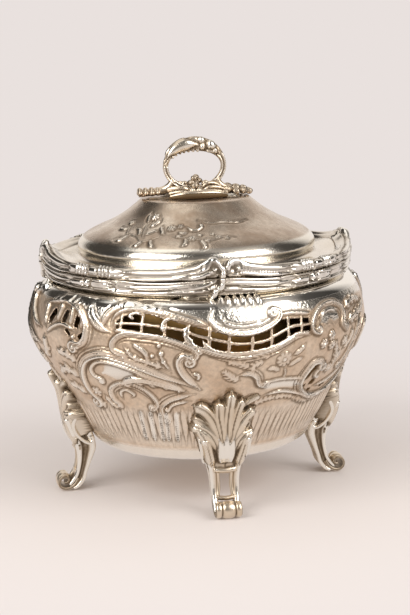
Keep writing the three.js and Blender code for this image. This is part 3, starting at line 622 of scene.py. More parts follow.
def chaseScrolls(f):
    # arch rail over the net, running on under the cartouche
    lay(f, "scroll", 1.5, 1.1, [(-87.3, 82.3), (-87.9, 84.9), (-86.5, 88.5), (-83.5, 91.3),
        (-79.8, 92.8), (-75.5, 92.5), (-69.6, 91.3), (-63.9, 89.3), (-58.5, 87.6), (-52, 85)],
        ends=(0.1, 0.1))
    lay(f, "rib", 0.8, 0.8, [(-84.6, 83.5), (-84.4, 86.6), (-82.2, 89.6), (-78.2, 91.1),
        (-73.4, 91.1), (-67.6, 89.9), (-62, 88)])
    lay(f, "leaf", 2.3, 1.2, [(-92.9, 91.6), (-93.6, 88.6), (-91.5, 85.2), (-88.3, 82.6),
        (-84.6, 81)], ends=(0.1, 0.5))
    # big scroll at the left with its shell
    lay(f, "scroll", 1.6, 1.5, [(-121, 88.4), (-113.1, 90.7), (-106.5, 91.7), (-101.1, 90.3),
        (-97.3, 87.7), (-95.2, 84), (-94.9, 80.5), (-95.7, 76.7), (-98.3, 74.5), (-101, 74.7)],
        curl=1.8)
    lay(f, "rib", 0.8, 0.8, [(-116.7, 75.8), (-113, 79.3), (-108, 81.8), (-103.8, 81.4),
        (-99.8, 79.8)])
    for points in ([(-116.5, 79.5), (-117.3, 83), (-117, 87.6)],
            [(-109.3, 82.4), (-109, 85.2), (-108, 88.6)],
            [(-102.6, 81.6), (-102.3, 85), (-102, 88.6)], [(-97.3, 81), (-97, 84.5), (-97.6, 87)]):
        lay(f, "rib", 0.9, 0.9, points, curl=0.7)
    for at in ((-100.8, 77.3), (-97.4, 75.2), (-98.9, 73.2)):
        knob(f, at, 0.9, 1.1)
    # ornament over the side corners
    lay(f, "scroll", 1.7, 1.9,
        [(-120, 78), (-125.5, 80), (-130.5, 84.5), (-133, 89), (-131.5, 92.6), (-128, 93)],
        curl=1.6)
    lay(f, "scroll", 1.6, 1.7, [(-122, 70), (-128, 72.5), (-133, 77), (-138, 84), (-141, 90)],
        curl=-1.6)
    frond(f, [(-124, 60), (-130, 64), (-136, 70), (-140.5, 77)], 1.8, 1.5, 4, 4.4)
    frond(f, [(-122.5, 64), (-118.5, 70), (-118, 75.5)], 1.5, 1.2, 3, 3.4)
    frond(f, [(-127, 47), (-127, 53), (-129.5, 60)], 1.4, 1.1, 4, 3.6)
    # curls and leaves inside the net
    lay(f, "rib", 0.75, 0.9, [(-76, 87.2), (-77.8, 87.9), (-77.8, 88.9), (-75.9, 89.6), (-73, 89)])
    lay(f, "rib", 0.75, 0.9, [(-66.8, 84.2), (-66.2, 86.6), (-63.9, 87.9), (-60, 87.2)],
        startCurl=0.7)
    frond(f, [(-57.4, 86), (-59, 82.5), (-58.6, 80), (-56.9, 77.3), (-54.6, 75.3)], 1.2, 1.1, 3,
        2.4)
    lay(f, "leaf", 0.9, 0.9, [(-53.8, 79.6), (-52.5, 76.6), (-50.4, 74.9), (-47.6, 73.3)])
    # scroll that carries the net's lower left end
    lay(f, "scroll", 1.35, 1.2, [(-80.3, 72.4), (-83.7, 74), (-84.2, 76.9), (-82.3, 79.6),
        (-78.8, 81.1), (-73.8, 80.9), (-67.4, 80.2), (-61.7, 78.3), (-57.2, 75.6), (-55.8, 73.1),
        (-57, 71.2)], curl=-1.1, startCurl=-1.2)
    lay(f, "scroll", 1.2, 1.1,
        [(-54.6, 75.8), (-51.1, 74), (-46.2, 72.2), (-41, 71.2), (-35.7, 71.8), (-30.3, 73.2),
        (-25.4, 75.6), (-21.7, 77.0), (-15.5, 77.2)], startCurl=1.0)
    lay(f, "rib", 0.9, 0.8, [(-27.5, 87), (-22.3, 87.3), (-13.8, 85.7)])
    # cartouche at the front corner
    lay(f, "scroll", 1.5, 1.5, [(-49.8, 91.6), (-50.7, 87.6), (-49, 84.3), (-45.3, 82.2),
        (-40.7, 81.4), (-35.8, 81.8), (-31.1, 83.6), (-27.9, 86), (-27.2, 88.2), (-29, 89.2)],
        curl=1.2)
    lay(f, "rib", 0.7, 0.8, [(-46.8, 88.6), (-46.3, 86.2), (-44.6, 84.9), (-41.3, 84.1),
        (-37.5, 84.3), (-34, 85.4)])
    for i in range(6):
        a = -47.5 + 2.7 * i
        lay(f, "rib", 1.15, 1.2, [(a + 1.0, 93.4 - 0.3 * i), (a, 95.5), (a - 0.4, 97.6)],
            ends=(0.1, 0.3))
    # cartouche at the right
    lay(f, "scroll", 1.4, 1.3, [(-11.6, 77.4), (-13.7, 78.6), (-14, 81.6), (-11.5, 85.6),
        (-7.3, 87.9), (-2.4, 88), (2.0, 85.5), (3.1, 81.7), (2.3, 78.2), (4.5, 75.8)], curl=1.1,
        startCurl=1.0)
    lay(f, "rib", 0.7, 0.8, [(-10.2, 81), (-8.6, 84.4), (-4.5, 85.6), (-0.8, 83.8)])
    frond(f, [(4.5, 84), (9.2, 86.3), (14, 86.5), (20, 84.5)], 1.3, 1.2, 4, 3.2)
    frond(f, [(5, 78), (11, 79.5), (18.4, 81.2), (25, 84.5)], 1.4, 1.2, 4, 3.4)
    bloom(f, (13.3, 79.4), 2.8, 6, 1.2)


chaseScrolls(wallField)


def chaseLeaves(f):
    # grooved scroll in the middle, with berries and small leaves beside it
    lay(f, "scroll", 1.8, 1.5, [(-57.5, 71), (-59.6, 72.4), (-61.2, 70.8), (-61.3, 68), (-60, 64.2),
        (-57.3, 60.2), (-54.5, 56.7)], startCurl=-1.2, ends=(0, 0.3))
    lay(f, "rib", 0.7, 0.9, [(-57.6, 64.6), (-55.6, 64.4), (-55.2, 62.8), (-56.2, 61.8)])
    for at, size in (((-67.2, 73.7), 1.1), ((-66.6, 70.1), 1.0), ((-67.8, 77.0), 0.9),
            ((-70.2, 72.6), 0.8)):
        knob(f, at, size, 1.1)
    frond(f, [(-66, 67), (-71.5, 69.5), (-76.6, 71.4), (-80, 76)], 0.9, 0.9, 4, 2.6)
    lay(f, "leaf", 1.1, 0.9, [(-71.3, 70.9), (-73, 74.4), (-77.1, 77.6)])
    lay(f, "rib", 0.5, 0.7, [(-64.5, 66), (-66.5, 70), (-67.5, 74)])
    # the great acanthus scroll
    lay(f, "scroll", 2.0, 1.7, [(-99.6, 48.6), (-102, 51.5), (-102.9, 56.1), (-100.9, 62.8),
        (-96.2, 68.5), (-89.1, 71.6), (-82, 70.3), (-74.7, 67.4), (-67.7, 63.7), (-60.6, 60.2),
        (-54.9, 56.7)], startCurl=-1.8, ends=(0, 0.3))
    lay(f, "rib", 0.9, 1.0, [(-92.6, 59.6), (-95.4, 61), (-95.6, 64.2), (-91.7, 67.7),
        (-86.2, 68.1), (-78.4, 65.7), (-72, 62.7), (-65.5, 59.2)], startCurl=-1.2)
    frond(f, [(-86, 56.5), (-80.5, 60.4), (-74, 61), (-66, 58.8), (-59.5, 55.6)], 1.7, 1.3, 5, 4.2,
        sides=(1,))
    frond(f, [(-60, 56.5), (-67, 60.6), (-73.5, 63.2), (-79, 64)], 1.3, 1.1, 4, 3.0, sides=(-1,))
    frond(f, [(-101, 66), (-106, 69), (-111.5, 69.6)], 1.3, 1.1, 4, 3.2)
    frond(f, [(-103, 58), (-108, 61), (-113, 60.6), (-117, 57)], 1.5, 1.1, 4, 3.6)
    frond(f, [(-105, 50), (-110, 53), (-115.5, 53)], 1.3, 1.0, 3, 3.2)
    # arches over the flutes
    lay(f, "scroll", 1.2, 1.1, [(-88.6, 47.8), (-90.9, 50.6), (-90.2, 54.9), (-85.1, 58.3),
        (-79.3, 58.3), (-74.4, 55), (-71.8, 49.9), (-73.4, 47.1)], curl=-1.1, startCurl=-1.0)
    lay(f, "rib", 0.7, 0.8, [(-86.3, 50.6), (-86, 54), (-83.2, 55.6), (-80.4, 53.6), (-82, 51.8)])
    lay(f, "scroll", 1.2, 1.1, [(-68.2, 42.4), (-70.4, 44.6), (-70.1, 48.3), (-66.2, 51.9),
        (-61.1, 53.8), (-56.7, 54.7)], startCurl=-1.0)
    lay(f, "rib", 0.7, 0.8, [(-67.6, 46.6), (-66, 49), (-62.5, 50.6), (-58.5, 51.2)],
        startCurl=-0.7)
    frond(f, [(-96, 47.6), (-100.5, 46), (-104.6, 47.6)], 1.1, 1.0, 3, 2.6)
    bloom(f, (-98.5, 52.5), 2.6, 6, 1.1)
    frond(f, [(-95, 51.5), (-92.6, 47.6), (-89.4, 45.4)], 0.9, 0.9, 3, 2.2)
    # daisy and foliage at the right of the front foot
    bloom(f, (-25.6, 68.2), 4.0, 9, 0.75)
    lay(f, "rib", 0.45, 0.5, [(-24.6, 64.2), (-23.6, 61.6), (-23.9, 59)])
    for points in ([(-22.2, 69.6), (-19.6, 71), (-17.6, 73.6)],
            [(-23.2, 64.6), (-20, 66.6), (-17.4, 67.4)], [(-26.4, 63), (-29, 64.6), (-31.4, 64.4)]):
        lay(f, "leaf", 1.1, 0.6, points)
    frond(f, [(-31, 70.4), (-35.6, 71.6), (-40.4, 71)], 0.6, 0.5, 6, 2.2)
    frond(f, [(-38, 66), (-42, 68.6), (-46, 69)], 0.8, 0.6, 5, 2.4)
    frond(f, [(-33, 68.6), (-36.6, 67), (-37, 63.4)], 0.7, 0.6, 5, 2.2)
    frond(f, [(-41, 60.4), (-44.4, 62.4), (-47, 65.6)], 0.8, 0.65, 5, 2.6)
    lay(f, "scroll", 1.3, 1.2, [(-42, 62.6), (-38, 63.6), (-34.9, 61.4), (-33.4, 58), (-31, 56.8)],
        curl=0.9)
    # flat band over the flutes at the right
    lay(f, "flat", 0.7, 0.6, [(-31, 58.1), (-24.8, 58.9), (-14.4, 57.4)], ends=(0, 0))
    lay(f, "rib", 0.8, 0.9, [(-31.6, 51), (-26.8, 52.5), (-21, 52.5), (-10.3, 48.9), (-4.6, 46.2),
        (3, 44)])
    for points in ([(-34, 47.6), (-29, 49.6), (-24, 49.9)],
            [(-25.6, 49.8), (-19.6, 49.9), (-13.4, 47.6)], [(-15, 48.2), (-9, 45.9), (-3.6, 43.6)]):
        frond(f, points, 0.7, 0.5, 5, 2.2)
    # crescent scroll with its garland
    lay(f, "scroll", 1.6, 1.5, [(-5.6, 60.6), (-6.4, 63.2), (-10.8, 63.7), (-13.6, 59.6),
        (-14.3, 55), (-11.4, 50.4), (-5.9, 47.3), (3.2, 46.4), (12, 49), (20, 53.5), (27, 58.5)],
        startCurl=1.2)
    lay(f, "rib", 0.8, 0.9, [(-3.6, 60.4), (-6.2, 59.4), (-7.0, 57.2), (-5.2, 55.9), (-3.4, 57.2)])
    lay(f, "rib", 0.6, 0.8, [(-4.6, 51.2), (1, 51.9), (8, 53.6), (16, 58.2)])
    for at in ((-8.4, 71.7), (-3.5, 70.1), (3, 64), (4.9, 70.1), (-4.5, 74.6), (0, 59)):
        bloom(f, at, 2.3, 6, 1.1)
    frond(f, [(1, 56), (2.4, 61), (1, 66.4), (-2, 72)], 0.9, 0.9, 5, 2.6)
    frond(f, [(6, 66), (9.5, 70), (10, 75)], 1.1, 0.9, 3, 2.6)
    lay(f, "scroll", 1.1, 1.1, [(9, 58), (12, 64), (12.6, 70), (15, 75.6), (20, 79)],
        startCurl=-1.0)
    lay(f, "rib", 1.0, 1.1, [(27.5, 60), (25.5, 66), (26.5, 72), (30, 77)])
    # flutes: soft ridges all round, and beaded pairs at the left of the front foot
    for a in np.arange(-137, 43, 3.0):
        lean = 1.3 if a > -45 and a < 20 else -0.2
        high = 45.6 + 1.6 * math.sin(math.radians(4.1 * a + 20)) + 1.3 * math.sin(a * 1.9)
        low = 29.4 + 1.2 * math.sin(math.radians(2.3 * a)) + 0.9 * math.sin(a * 2.7)
        lay(f, "rib", 1.2 + 0.2 * math.sin(a * 2.3), 0.36 + 0.14 * math.sin(a * 3.1),
            [(a + lean, high), (a + 0.5, 38), (a - lean, low)], ends=(0.3, 0.5), groove=0.08)
    for a in bowl["beaded"]:
        for k in range(13):
            knob(f, (a - 0.5 + 0.08 * k, 31.6 + 1.1 * k), 0.45, 0.45)
        for side in (-0.85, 0.85):
            lay(f, "rib", 0.3, 0.5, [(a - 0.5 + side, 31.2), (a + 0.5 + side, 45.4)],
                ends=(0.1, 0.1), groove=0.15)


def polishAndHighlightWall(f):
    edge = np.array([(-137, 92), (-121, 90), (-106, 93), (-98, 91), (-94, 86), (-91, 84),
        (-88.6, 86.5), (-84, 92.6), (-79, 94), (-70, 92.6), (-58, 88.6), (-51.5, 86), (-49, 84),
        (-44, 81.6), (-39, 81), (-33, 83), (-28, 86.6), (-26, 88), (-15, 87), (-12.5, 87),
        (-7, 89.3), (-1, 89.3), (3, 86.8), (8, 88), (20, 87.4), (30, 86), (43, 92)], float)
    angles, height = f["start"] + np.arange(f["count"]) * f["step"], f["line"][:, 1][:, None]
    above = height - np.interp(angles, edge[:, 0], edge[:, 1])[None, :]
    smooth = smoothstep(above, -0.4, 1.2)
    under = 0.8 * (1 - smoothstep(height, 26.4, 27.6))
    # the flutes are painted a little lighter: painted highlight
    fluteHighlight = 0.3 * (smoothstep(height, 27, 30) * (1 - smoothstep(height, 44, 48)))
    for polishAndHighlight in (smooth, under, fluteHighlight):
        f["shine"] = np.maximum(f["shine"], polishAndHighlight)
    for a in bowl["beaded"]:
        lay(f, "shine", 1.2, 0, [(a - 0.5, 30.8), (a + 0.5, 45.8)], ends=(0.1, 0.1))
    # polished patches on the ground, also painted lighter as painted highlights
    lay(f, "shine", 5.4, 0, [(-91, 62.5), (-84, 64.6), (-78, 62)], ends=(0.4, 0.3))
    lay(f, "shine", 2.2, 0, [(-33, 56), (-24, 56.4), (-14, 54.6)], ends=(0.2, 0.2))
    lay(f, "shine", 3.0, 0, [(-10, 81), (-5, 84.6), (0, 81)], ends=(0.2, 0.2))


chaseLeaves(wallField)
polishAndHighlightWall(wallField)
settle(wallField)
print("wall chased")


def hemmed(rows):  # a hair's breadth beside each end, so that a turned edge stays narrow
    return np.concatenate([rows[:1], rows[:1] * 0.95 + rows[1:2] * 0.05, rows[1:-1],
        rows[-1:] * 0.95 + rows[-2:-1] * 0.05, rows[-1:]])


def bowlWall(f):
    rise, hollow, ridge, opened = (tiled(f[key]) for key in ("done", "hollow", "ridge", "open"))
    turns = turnsOf(f)
    radii, heights = f["line"][:, 0][:, None], f["line"][:, 1][:, None]
    shift = drawnIn(turns[None, :], radii, heights)
    normal = normalsOf(f["line"])
    outOf, upOf = normal[:, :1], normal[:, 1:]
    opened = np.maximum(opened, -3)
    # low piercings are only sunk, and painted near black as the shade inside an opening
    pit = smoothstep(opened, -0.1, 0.25) * (heights < bowl["pitsBelow"])
    rise = rise - bowl["pitDeep"] * pit
    hollow, ridge = np.maximum(hollow, 2 * pit), ridge * (1 - pit)
    # points beside an edge move onto it
    slopeA = (np.roll(opened, -1, 1) - np.roll(opened, 1, 1)) / (2 * f["step"])
    slopeZ = np.gradient(opened, f["line"][:, 1], axis=0)
    per = f["perUnit"][:, None]
    steep = np.maximum((slopeA / per) ** 2 + slopeZ**2, 0.2)
    near = np.abs(opened) < bowl["snap"]
    moveA, moveZ = (np.where(near, np.clip(move, -bowl["mostMove"], bowl["mostMove"]), 0)
                    for move in (-opened * slopeA / per**2 / steep, -opened * slopeZ / steep))
    moveZ[:1] = 0
    moveZ[-1:] = 0

    def ringAt(radius, height):
        return around(np.full(len(turns), radius), turns, height)

    def outside(rows):
        out = rise[rows]
        r = radii[rows] + shift[rows] + outOf[rows] * out + moveZ[rows] * upOf[rows] * -1
        z = heights[rows] + moveZ[rows] + upOf[rows] * out
        return hemmed(around(r, turns[None, :] + moveA[rows], z))

    def inside(rows):
        out = -bowl["sheet"] + 0 * rise[rows]
        r = radii[rows] + shift[rows] + outOf[rows] * out
        return around(r, turns[None, :], heights[rows] + upOf[rows] * out)

    # the chased side, then fewer rows down its back
    def closedSheet(name, rows, every, material, floor=None):
        back = rows[::-1][::every]
        back = back if back[-1] == rows[0] else np.append(back, rows[0])
        outer, inner = outside(rows), inside(back)
        blank = np.zeros(inner.shape[:2])
        if floor is None:
            ring = [outer, inner, outer[:1]]
            marks = [[hemmed(v[rows]), blank, v[rows][:1]] for v in (hollow, ridge)]
        else:
            inner[-1] = ringAt(*bowl["floorEdge"])
            ring = [floor[::-1], outer, inner, floor + np.array([0, 0, bowl["sheet"]])]
            bare = np.zeros(floor.shape[:2])
            marks = [[bare, hemmed(v[rows]), blank, bare] for v in (hollow, ridge)]
        return meshFrom(name, np.concatenate(ring), *(np.concatenate(mark) for mark in marks),
            material, "chased_silver")

    seams = [wallHeights[np.argmin(np.abs(wallHeights - z))] for z in bowl["seams"]]
    base, field, net, neck = (
        np.nonzero((wallHeights >= low - 1e-6) & (wallHeights <= high + 1e-6))[0]
        for low, high in zip(seams, seams[1:]))
    floor = np.stack([ringAt(*edge) for edge in bowl["floor"]])
    bowlBase = closedSheet("bowlBase", base, 6, chasedSilver, floor)
    bowlField = closedSheet("bowlField", field, 6, chasedSilver)
    faces = hemmed(opened[net])
    faces = (faces[:-1] + faces[1:]) / 2
    faces = (faces + np.roll(faces, -1, 1)) / 2 > bowl["open"]
    bowlNet = meshFrom("bowlNet", outside(net), hemmed(hollow[net]), hemmed(ridge[net]),
        chasedSilver, "chased_silver", drop=faces)
    thicken(bowlNet, bowl["sheet"])
    bowlNeck = closedSheet("bowlNeck", neck, 1, brightSilver)
    for piece in (bowlBase, bowlField, bowlNet, bowlNeck):
        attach(piece, "bowl")
    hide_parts("bowl_shell")


bowlWall(wallField)
print("bowl wall built")


# Borders: a moulding round the bowl and one round the lid, both rising to a crest at each corner

corners = {"spread": 13, "reach": 1.3, "joint": 1.6, "crest": 3.6}


def cuspAt(angle):
    fold = (np.asarray(angle) + 45) % 90
    fold = np.minimum(fold, 90 - fold)
    return np.exp(-((fold / corners["spread"]) ** 2))


def hornAt(angle):  # the crest breaks into a horn and a curl on either side of a corner
    off = (np.asarray(angle, float) + 45 + 45) % 90 - 45
    horn, notch = np.exp(-((off + 5.2) / 2.6) ** 2), 1.8 * np.exp(-((off + 1.2) / 1.1) ** 2)
    return horn - notch + 0.5 * np.exp(-((off - 3.6) / 2.4) ** 2)


def border(b, strokes, lift, name, material):
    face = evenly(throughPoints(b["face"], 10), 0.42)
    f = halfField(face, 540)
    strokes(f)
    settle(f)
    rise, hollow, ridge = (tiled(f[key]) for key in ("done", "hollow", "ridge"))
    back = np.array(b["back"], float)
    line = np.vstack([face, back])
    normal = np.concatenate([normalsOf(face), np.zeros((len(back), 2))])
    blank = np.zeros((len(back), rise.shape[1]))
    out = np.concatenate([rise, blank])
    r = line[:, :1] + out * normal[:, :1]
    z = np.clip(line[:, 1:] + out * normal[:, 1:], *b["between"])
    moulding = np.clip((r - b["inner"]) / b["width"], 0, 1)
    share = np.clip((z - b["foot"]) / b["tall"], 0, 1)
    turns = turnsOf(f)[None, :]
    extraOut, extraUp = lift(turns, cuspAt(turns), moulding, share)
    places = around(r + extraOut, turns, z + extraUp)
    places = np.concatenate([places, places[:1]])
    marks = [np.concatenate([v, blank, v[:1]]) for v in (hollow, ridge)]
    return meshFrom(name, places, *marks, material, "polished_silver")


def rails(f, spans, lines):  # smooth rails that run out of a wrap and widen towards a corner
    for a0, a1, side in spans:
        span = np.linspace(a0, a1, 7)
        near = [float(smoothstep(i / 6 if side > 0 else 1 - i / 6, 0.3, 1)) for i in range(7)]
        for low, fan, half, rise in lines:
            ends = (0.35, 0.02) if side > 0 else (0.02, 0.35)
            lay(f, "rib", half, rise, [(a, low + fan * n) for a, n in zip(span, near)], ends=ends,
                groove=0.3)


# two bundles of bands, a swelling between, and leaves beside them
def wrap(f, a0, low, high, rise):
    middle = (low + high) / 2
    for start in (1.2, 12.6):
        for i in range(4):
            a = a0 + start + 1.5 * i
            lay(f, "rib", 0.8, rise * (1 - 0.1 * i),
                [(a, high + 0.2), (a + 0.6, middle), (a + 0.2, low)], ends=(0.1, 0.2), groove=0.35)
    lay(f, "rib", 1.7, rise * 0.85, [(a0 + 7.4, middle + 0.2), (a0 + 12, middle)], ends=(0.2, 0.1))
    for lean in (0.8, -0.5):
        lay(f, "leaf", 1.1, rise * 0.8, [(a0 + 17, middle + lean), (a0 + 20, middle + lean * 1.3),
            (a0 + 24, middle + lean * 1.2)], ends=(0.05, 0.6))
        lay(f, "leaf", 1.0, rise * 0.8, [(a0 + 1.4, middle + lean), (a0 - 1.6, middle + lean * 1.3),
            (a0 - 5, middle + lean * 1.1)], ends=(0.05, 0.6))


def bowlBorderStrokes(f):
    rails(f, ((-84, -52, 1), (-46, -18, -1), (-136, -108, -1), (13, 38, 1)),
        ((101.3, 0.4, 0.5, 0.5), (99.5, 1.2, 1.15, 0.7), (97.3, 1.0, 0.6, 0.55)))
    for base in (0, 90):
        lay(f, "rib", 0.8, 0.9,
            [(base - 66, 98.5), (base - 58, 98.9), (base - 52, 100), (base - 48, 101.5)],
            ends=(0.5, 0.1), groove=0.3)
        lay(f, "rib", 0.7, 0.9, [(base - 62, 97.5), (base - 55, 97.8), (base - 50.4, 98.7),
            (base - 47.6, 100.2)], ends=(0.5, 0.1), groove=0.3)
        lay(f, "rib", 1.1, 1.4, [(base - 46.4, 102), (base - 46.1, 100.6), (base - 46.8, 99),
            (base - 48.6, 97.7), (base - 51.5, 96.9), (base - 57, 96.6), (base - 64, 96.6)],
            ends=(0, 0.5), groove=0.4)
    for a0 in (-105, -15):
        knob(f, (a0 + 6.5, 100), 1.7, 1.6)
        lay(f, "leaf", 1.9, 1.4, [(a0 + 8.5, 99.6), (a0 + 13, 99.8), (a0 + 18.5, 99.2)],
            ends=(0.1, 0.5), groove=0.4)
        lay(f, "leaf", 1.4, 1.2, [(a0 + 4.6, 99.4), (a0 + 0.6, 99.0), (a0 - 4.5, 99.2)],
            ends=(0.1, 0.5), groove=0.4)
        lay(f, "rib", 0.7, 1.0, [(a0 + 9, 101.6), (a0 + 13.5, 101.4), (a0 + 19, 100.4)])
        lay(f, "rib", 0.6, 0.9, [(a0 + 9, 97.6), (a0 + 13.5, 97.9), (a0 + 19, 98.0)])


def bowlBorderLift(turns, cusp, moulding, share):
    onFace = np.where(moulding > 0.02, 1, 0)
    return corners["reach"] * moulding * cusp, corners["joint"] * share * onFace * cusp


bowlRim = {
    "face": [(64.2, 96.9), (65.1, 96.1), (66.3, 96.4), (66.8, 97.3), (66.2, 98.3), (66.7, 99.3),
        (66.7, 100.2), (66.6, 100.9), (67.3, 101.4), (67.2, 102.0)],
    "back": [(66, 102.0), (63.3, 102.0), (63.3, 100.6), (60.4, 100.6), (60.4, 99.3), (63.9, 99.3)],
    "foot": 96.2, "tall": 5.8, "inner": 63.9, "width": 3.8,
    "between": (0, 102.0)}  # the heights that its ornament stays between, clear of the other border
piece = border(bowlRim, bowlBorderStrokes, bowlBorderLift, "bowlBorder", brightSilver)
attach(piece, "bowl")
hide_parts("bowl_border")


def lidBorderStrokes(f):
    rails(f, ((-84, -53, 1), (-40, -18, -1), (-133, -108, -1), (13, 37, 1)),
        ((105.7, 0.2, 1.1, 0.6), (104.15, 0.5, 0.38, 0.45), (103.0, 0.5, 0.75, 0.5)))
    for base in (0, 90):
        lay(f, "rib", 0.8, 1.0, [(base - 66, 103.7), (base - 58, 104), (base - 52.6, 104.9),
            (base - 49, 106)], ends=(0.5, 0.2), groove=0.3)
        lay(f, "rib", 0.7, 1.0, [(base - 62, 102.8), (base - 55, 103), (base - 50.6, 103.7),
            (base - 47.6, 105)], ends=(0.5, 0.1), groove=0.3)
        lay(f, "rib", 1.2, 1.5, [(base - 58, 105.8), (base - 52, 106.4), (base - 48.6, 106.6),
            (base - 46.6, 105.6), (base - 45.9, 104), (base - 46.4, 102.3)], ends=(0.5, 0),
            groove=0.45)
        lay(f, "rib", 1.2, 1.5, [(base - 41.8, 104.1), (base - 43.2, 103.9), (base - 44.2, 104.9),
            (base - 43.2, 106.2), (base - 39.6, 106.5), (base - 33, 106.2)], ends=(0.3, 0.8),
            groove=0.45)
        for i in range(14):
            knob(f, (base - 40.4 + 1.15 * i, 104.6 - 0.08 * i), 0.75 - 0.025 * i, 0.9 - 0.03 * i)
    for a0 in (-105, -15):
        wrap(f, a0, 102.8, 106.7, 1.2)


def lidBorderLift(turns, cusp, moulding, share):
    up = cusp * (corners["joint"] + (corners["crest"] - corners["joint"]) * share)
    onFace = np.where(moulding > 0.1, 1, 0)
    return corners["reach"] * moulding * cusp, up + hornAt(turns) * share**2 * onFace


lidRim = {
    "face": [(66.6, 102.32), (67.3, 102.7), (67.3, 103.3), (66.7, 104.0), (66.8, 104.8),
        (66.7, 105.7), (66.0, 106.5), (65.0, 106.9), (64.2, 106.7)],
    "back": [(63.7, 106.2), (63.2, 105.6), (61.6, 105.2), (61.6, 102.32), (64.5, 102.32)],
    "foot": 102.3, "tall": 4.5, "inner": 61.6, "width": 6.1, "between": (102.32, 200)}
piece = border(lidRim, lidBorderStrokes, lidBorderLift, "lidBorder", brightSilver)
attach(piece, "lid")
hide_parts("lid_border")
print("borders built")


# Lid: a dome over an undercut step and a hollowed flange

lid = {
    "flange": [(61.3, 104.5), (58.8, 103.95), (56, 103.8), (53.6, 104.0), (52.2, 104.5),
        (51.5, 105.2), (51.5, 106.0)],
    "dome": [(51.5, 106.0), (52.2, 107.5), (52.4, 109.0), (51.8, 110.8), (50.3, 112.6),
        (47.4, 114.6), (42.8, 116.8), (37.9, 118.9), (31.5, 122.6), (27, 126), (24.6, 128.0),
        (23.6, 128.8)],
    "top": [(18, 128.8), (8, 128.8), (2.3, 128.8)], "under": [(2.3, 128.0), (22, 128.0)],
    "sheet": 0.8, "halfColumns": 360, "stepTop": 113.4, "flangePolish": 0.8,
    "lift": 2.58, "liftFrom": 51, "liftTo": 61.3, "liftBelow": 105.5}


def lidStrokes(f):
    by = {"by": "radius"}
    lay(f, "rib", 0.34, 0.3, [(-104, 46.5), (-99, 42.6), (-91, 43), (-84.5, 46), (-76, 42),
        (-69, 40)], **by)
    lay(f, "rib", 0.34, 0.35, [(-86, 44), (-89.5, 39), (-91.5, 35), (-89.5, 31.5)], **by)
    lay(f, "rib", 0.34, 0.35, [(-99, 42.6), (-103, 39), (-106.5, 36)], **by)
    lay(f, "rib", 0.34, 0.35, [(-72.7, 41), (-64, 42.5), (-56, 43.5), (-48, 45), (-40, 43),
        (-33, 44)], **by)
    bloom(f, (-89.2, 30.4), 2.0, 6, 1.1, **by)
    bloom(f, (-107.2, 34.8), 1.4, 5, 0.7, **by)
    bloom(f, (-71.4, 36.2), 2.1, 7, 0.8, **by)
    bloom(f, (-65.4, 35), 1.4, 5, 0.7, **by)
    bloom(f, (-65.2, 41.6), 1.4, 6, 0.6, **by)
    bloom(f, (-57.2, 43.2), 1.8, 6, 0.8, **by)
    for at in ((-48.7, 45), (-42.6, 42.6), (-37.5, 43.6), (-45, 40.4), (-52.6, 40.8)):
        bloom(f, at, 1.2, 5, 0.6, **by)
    lay(f, "rib", 0.5, 0.8, [(-61.6, 35), (-58, 37.2), (-54, 37.4), (-50.6, 35.4)], curl=0.8, **by)
    for points in ([(-97, 42.5), (-98.5, 46), (-101.5, 47.6)],
            [(-90, 42), (-93.4, 38.4), (-97, 37.6)], [(-86.6, 41.6), (-82.6, 38.4), (-80, 38.6)],
            [(-84.5, 46), (-86.4, 48.4), (-88, 49)], [(-80, 44.4), (-79, 47.6), (-76, 49.2)],
            [(-74, 40.6), (-77.4, 38), (-79, 34.6)], [(-61, 43), (-60.5, 46.6), (-62.5, 48.4)],
            [(-53, 44.2), (-50.6, 48), (-52, 49.8)], [(-88, 36), (-85, 33.6), (-83.4, 31.2)],
            [(-92, 33.4), (-95, 31), (-96, 28.6)], [(-104, 38.2), (-108.6, 39.4), (-111.5, 38)],
            [(-66, 38.6), (-63, 39.6), (-60.4, 38.6)]):
        lay(f, "leaf", 0.95, 0.7, points, **by)
    lay(f, "rib", 0.5, 0.35, [(-53, 31.6), (-44, 33.2), (-34, 33), (-24, 33.8), (-14, 33.4)],
        groove=0.25, **by)


def lidDome():
    flange = evenly(throughPoints(lid["flange"], 12), 0.6)
    dome = evenly(throughPoints(lid["dome"], 12), 0.5)
    f = halfField(dome, lid["halfColumns"])
    lidStrokes(f)
    step = dome[:, 1] < lid["stepTop"]
    f["shine"][step] = smoothstep(lid["stepTop"] - dome[step, 1], 0, 0.8)[:, None]
    settle(f)
    line = np.vstack([flange[:-1], dome])
    inner = line + normalsOf(line) * lid["sheet"] * -1
    inner = np.vstack([inner[::-1][::5], inner[:1]])
    ring = np.vstack([line, lid["top"], lid["under"], inner[1:], line[:1]])
    turns = turnsOf(f)[None, :]
    out, hollow, ridge = np.zeros((3, len(ring), turns.size))
    rows = slice(len(flange) - 1, len(line))
    for layer, key in ((out, "done"), (hollow, "hollow"), (ridge, "ridge")):
        layer[rows] = tiled(f[key])
    ridge[:len(flange) - 1] = lid["flangePolish"]
    normal = np.concatenate([normalsOf(line), np.zeros((len(ring) - len(line), 2))])
    r, z = ring[:, :1] + out * normal[:, :1], ring[:, 1:] + out * normal[:, 1:]
    low = np.where(ring[:, 1:] < lid["liftBelow"], 1, 0)
    lift = cuspAt(turns) * lid["lift"] * smoothstep(r, lid["liftFrom"], lid["liftTo"]) * low
    piece = meshFrom("lidDome", around(r, turns, z + lift), hollow, ridge, mattSilver,
        "chased_silver")
    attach(piece, "lid")
    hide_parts("lid_dome")


lidDome()
print("lid built")


# Feet: an acanthus leaf over the knee, two grooved legs with a slot between them, and a rolled toe

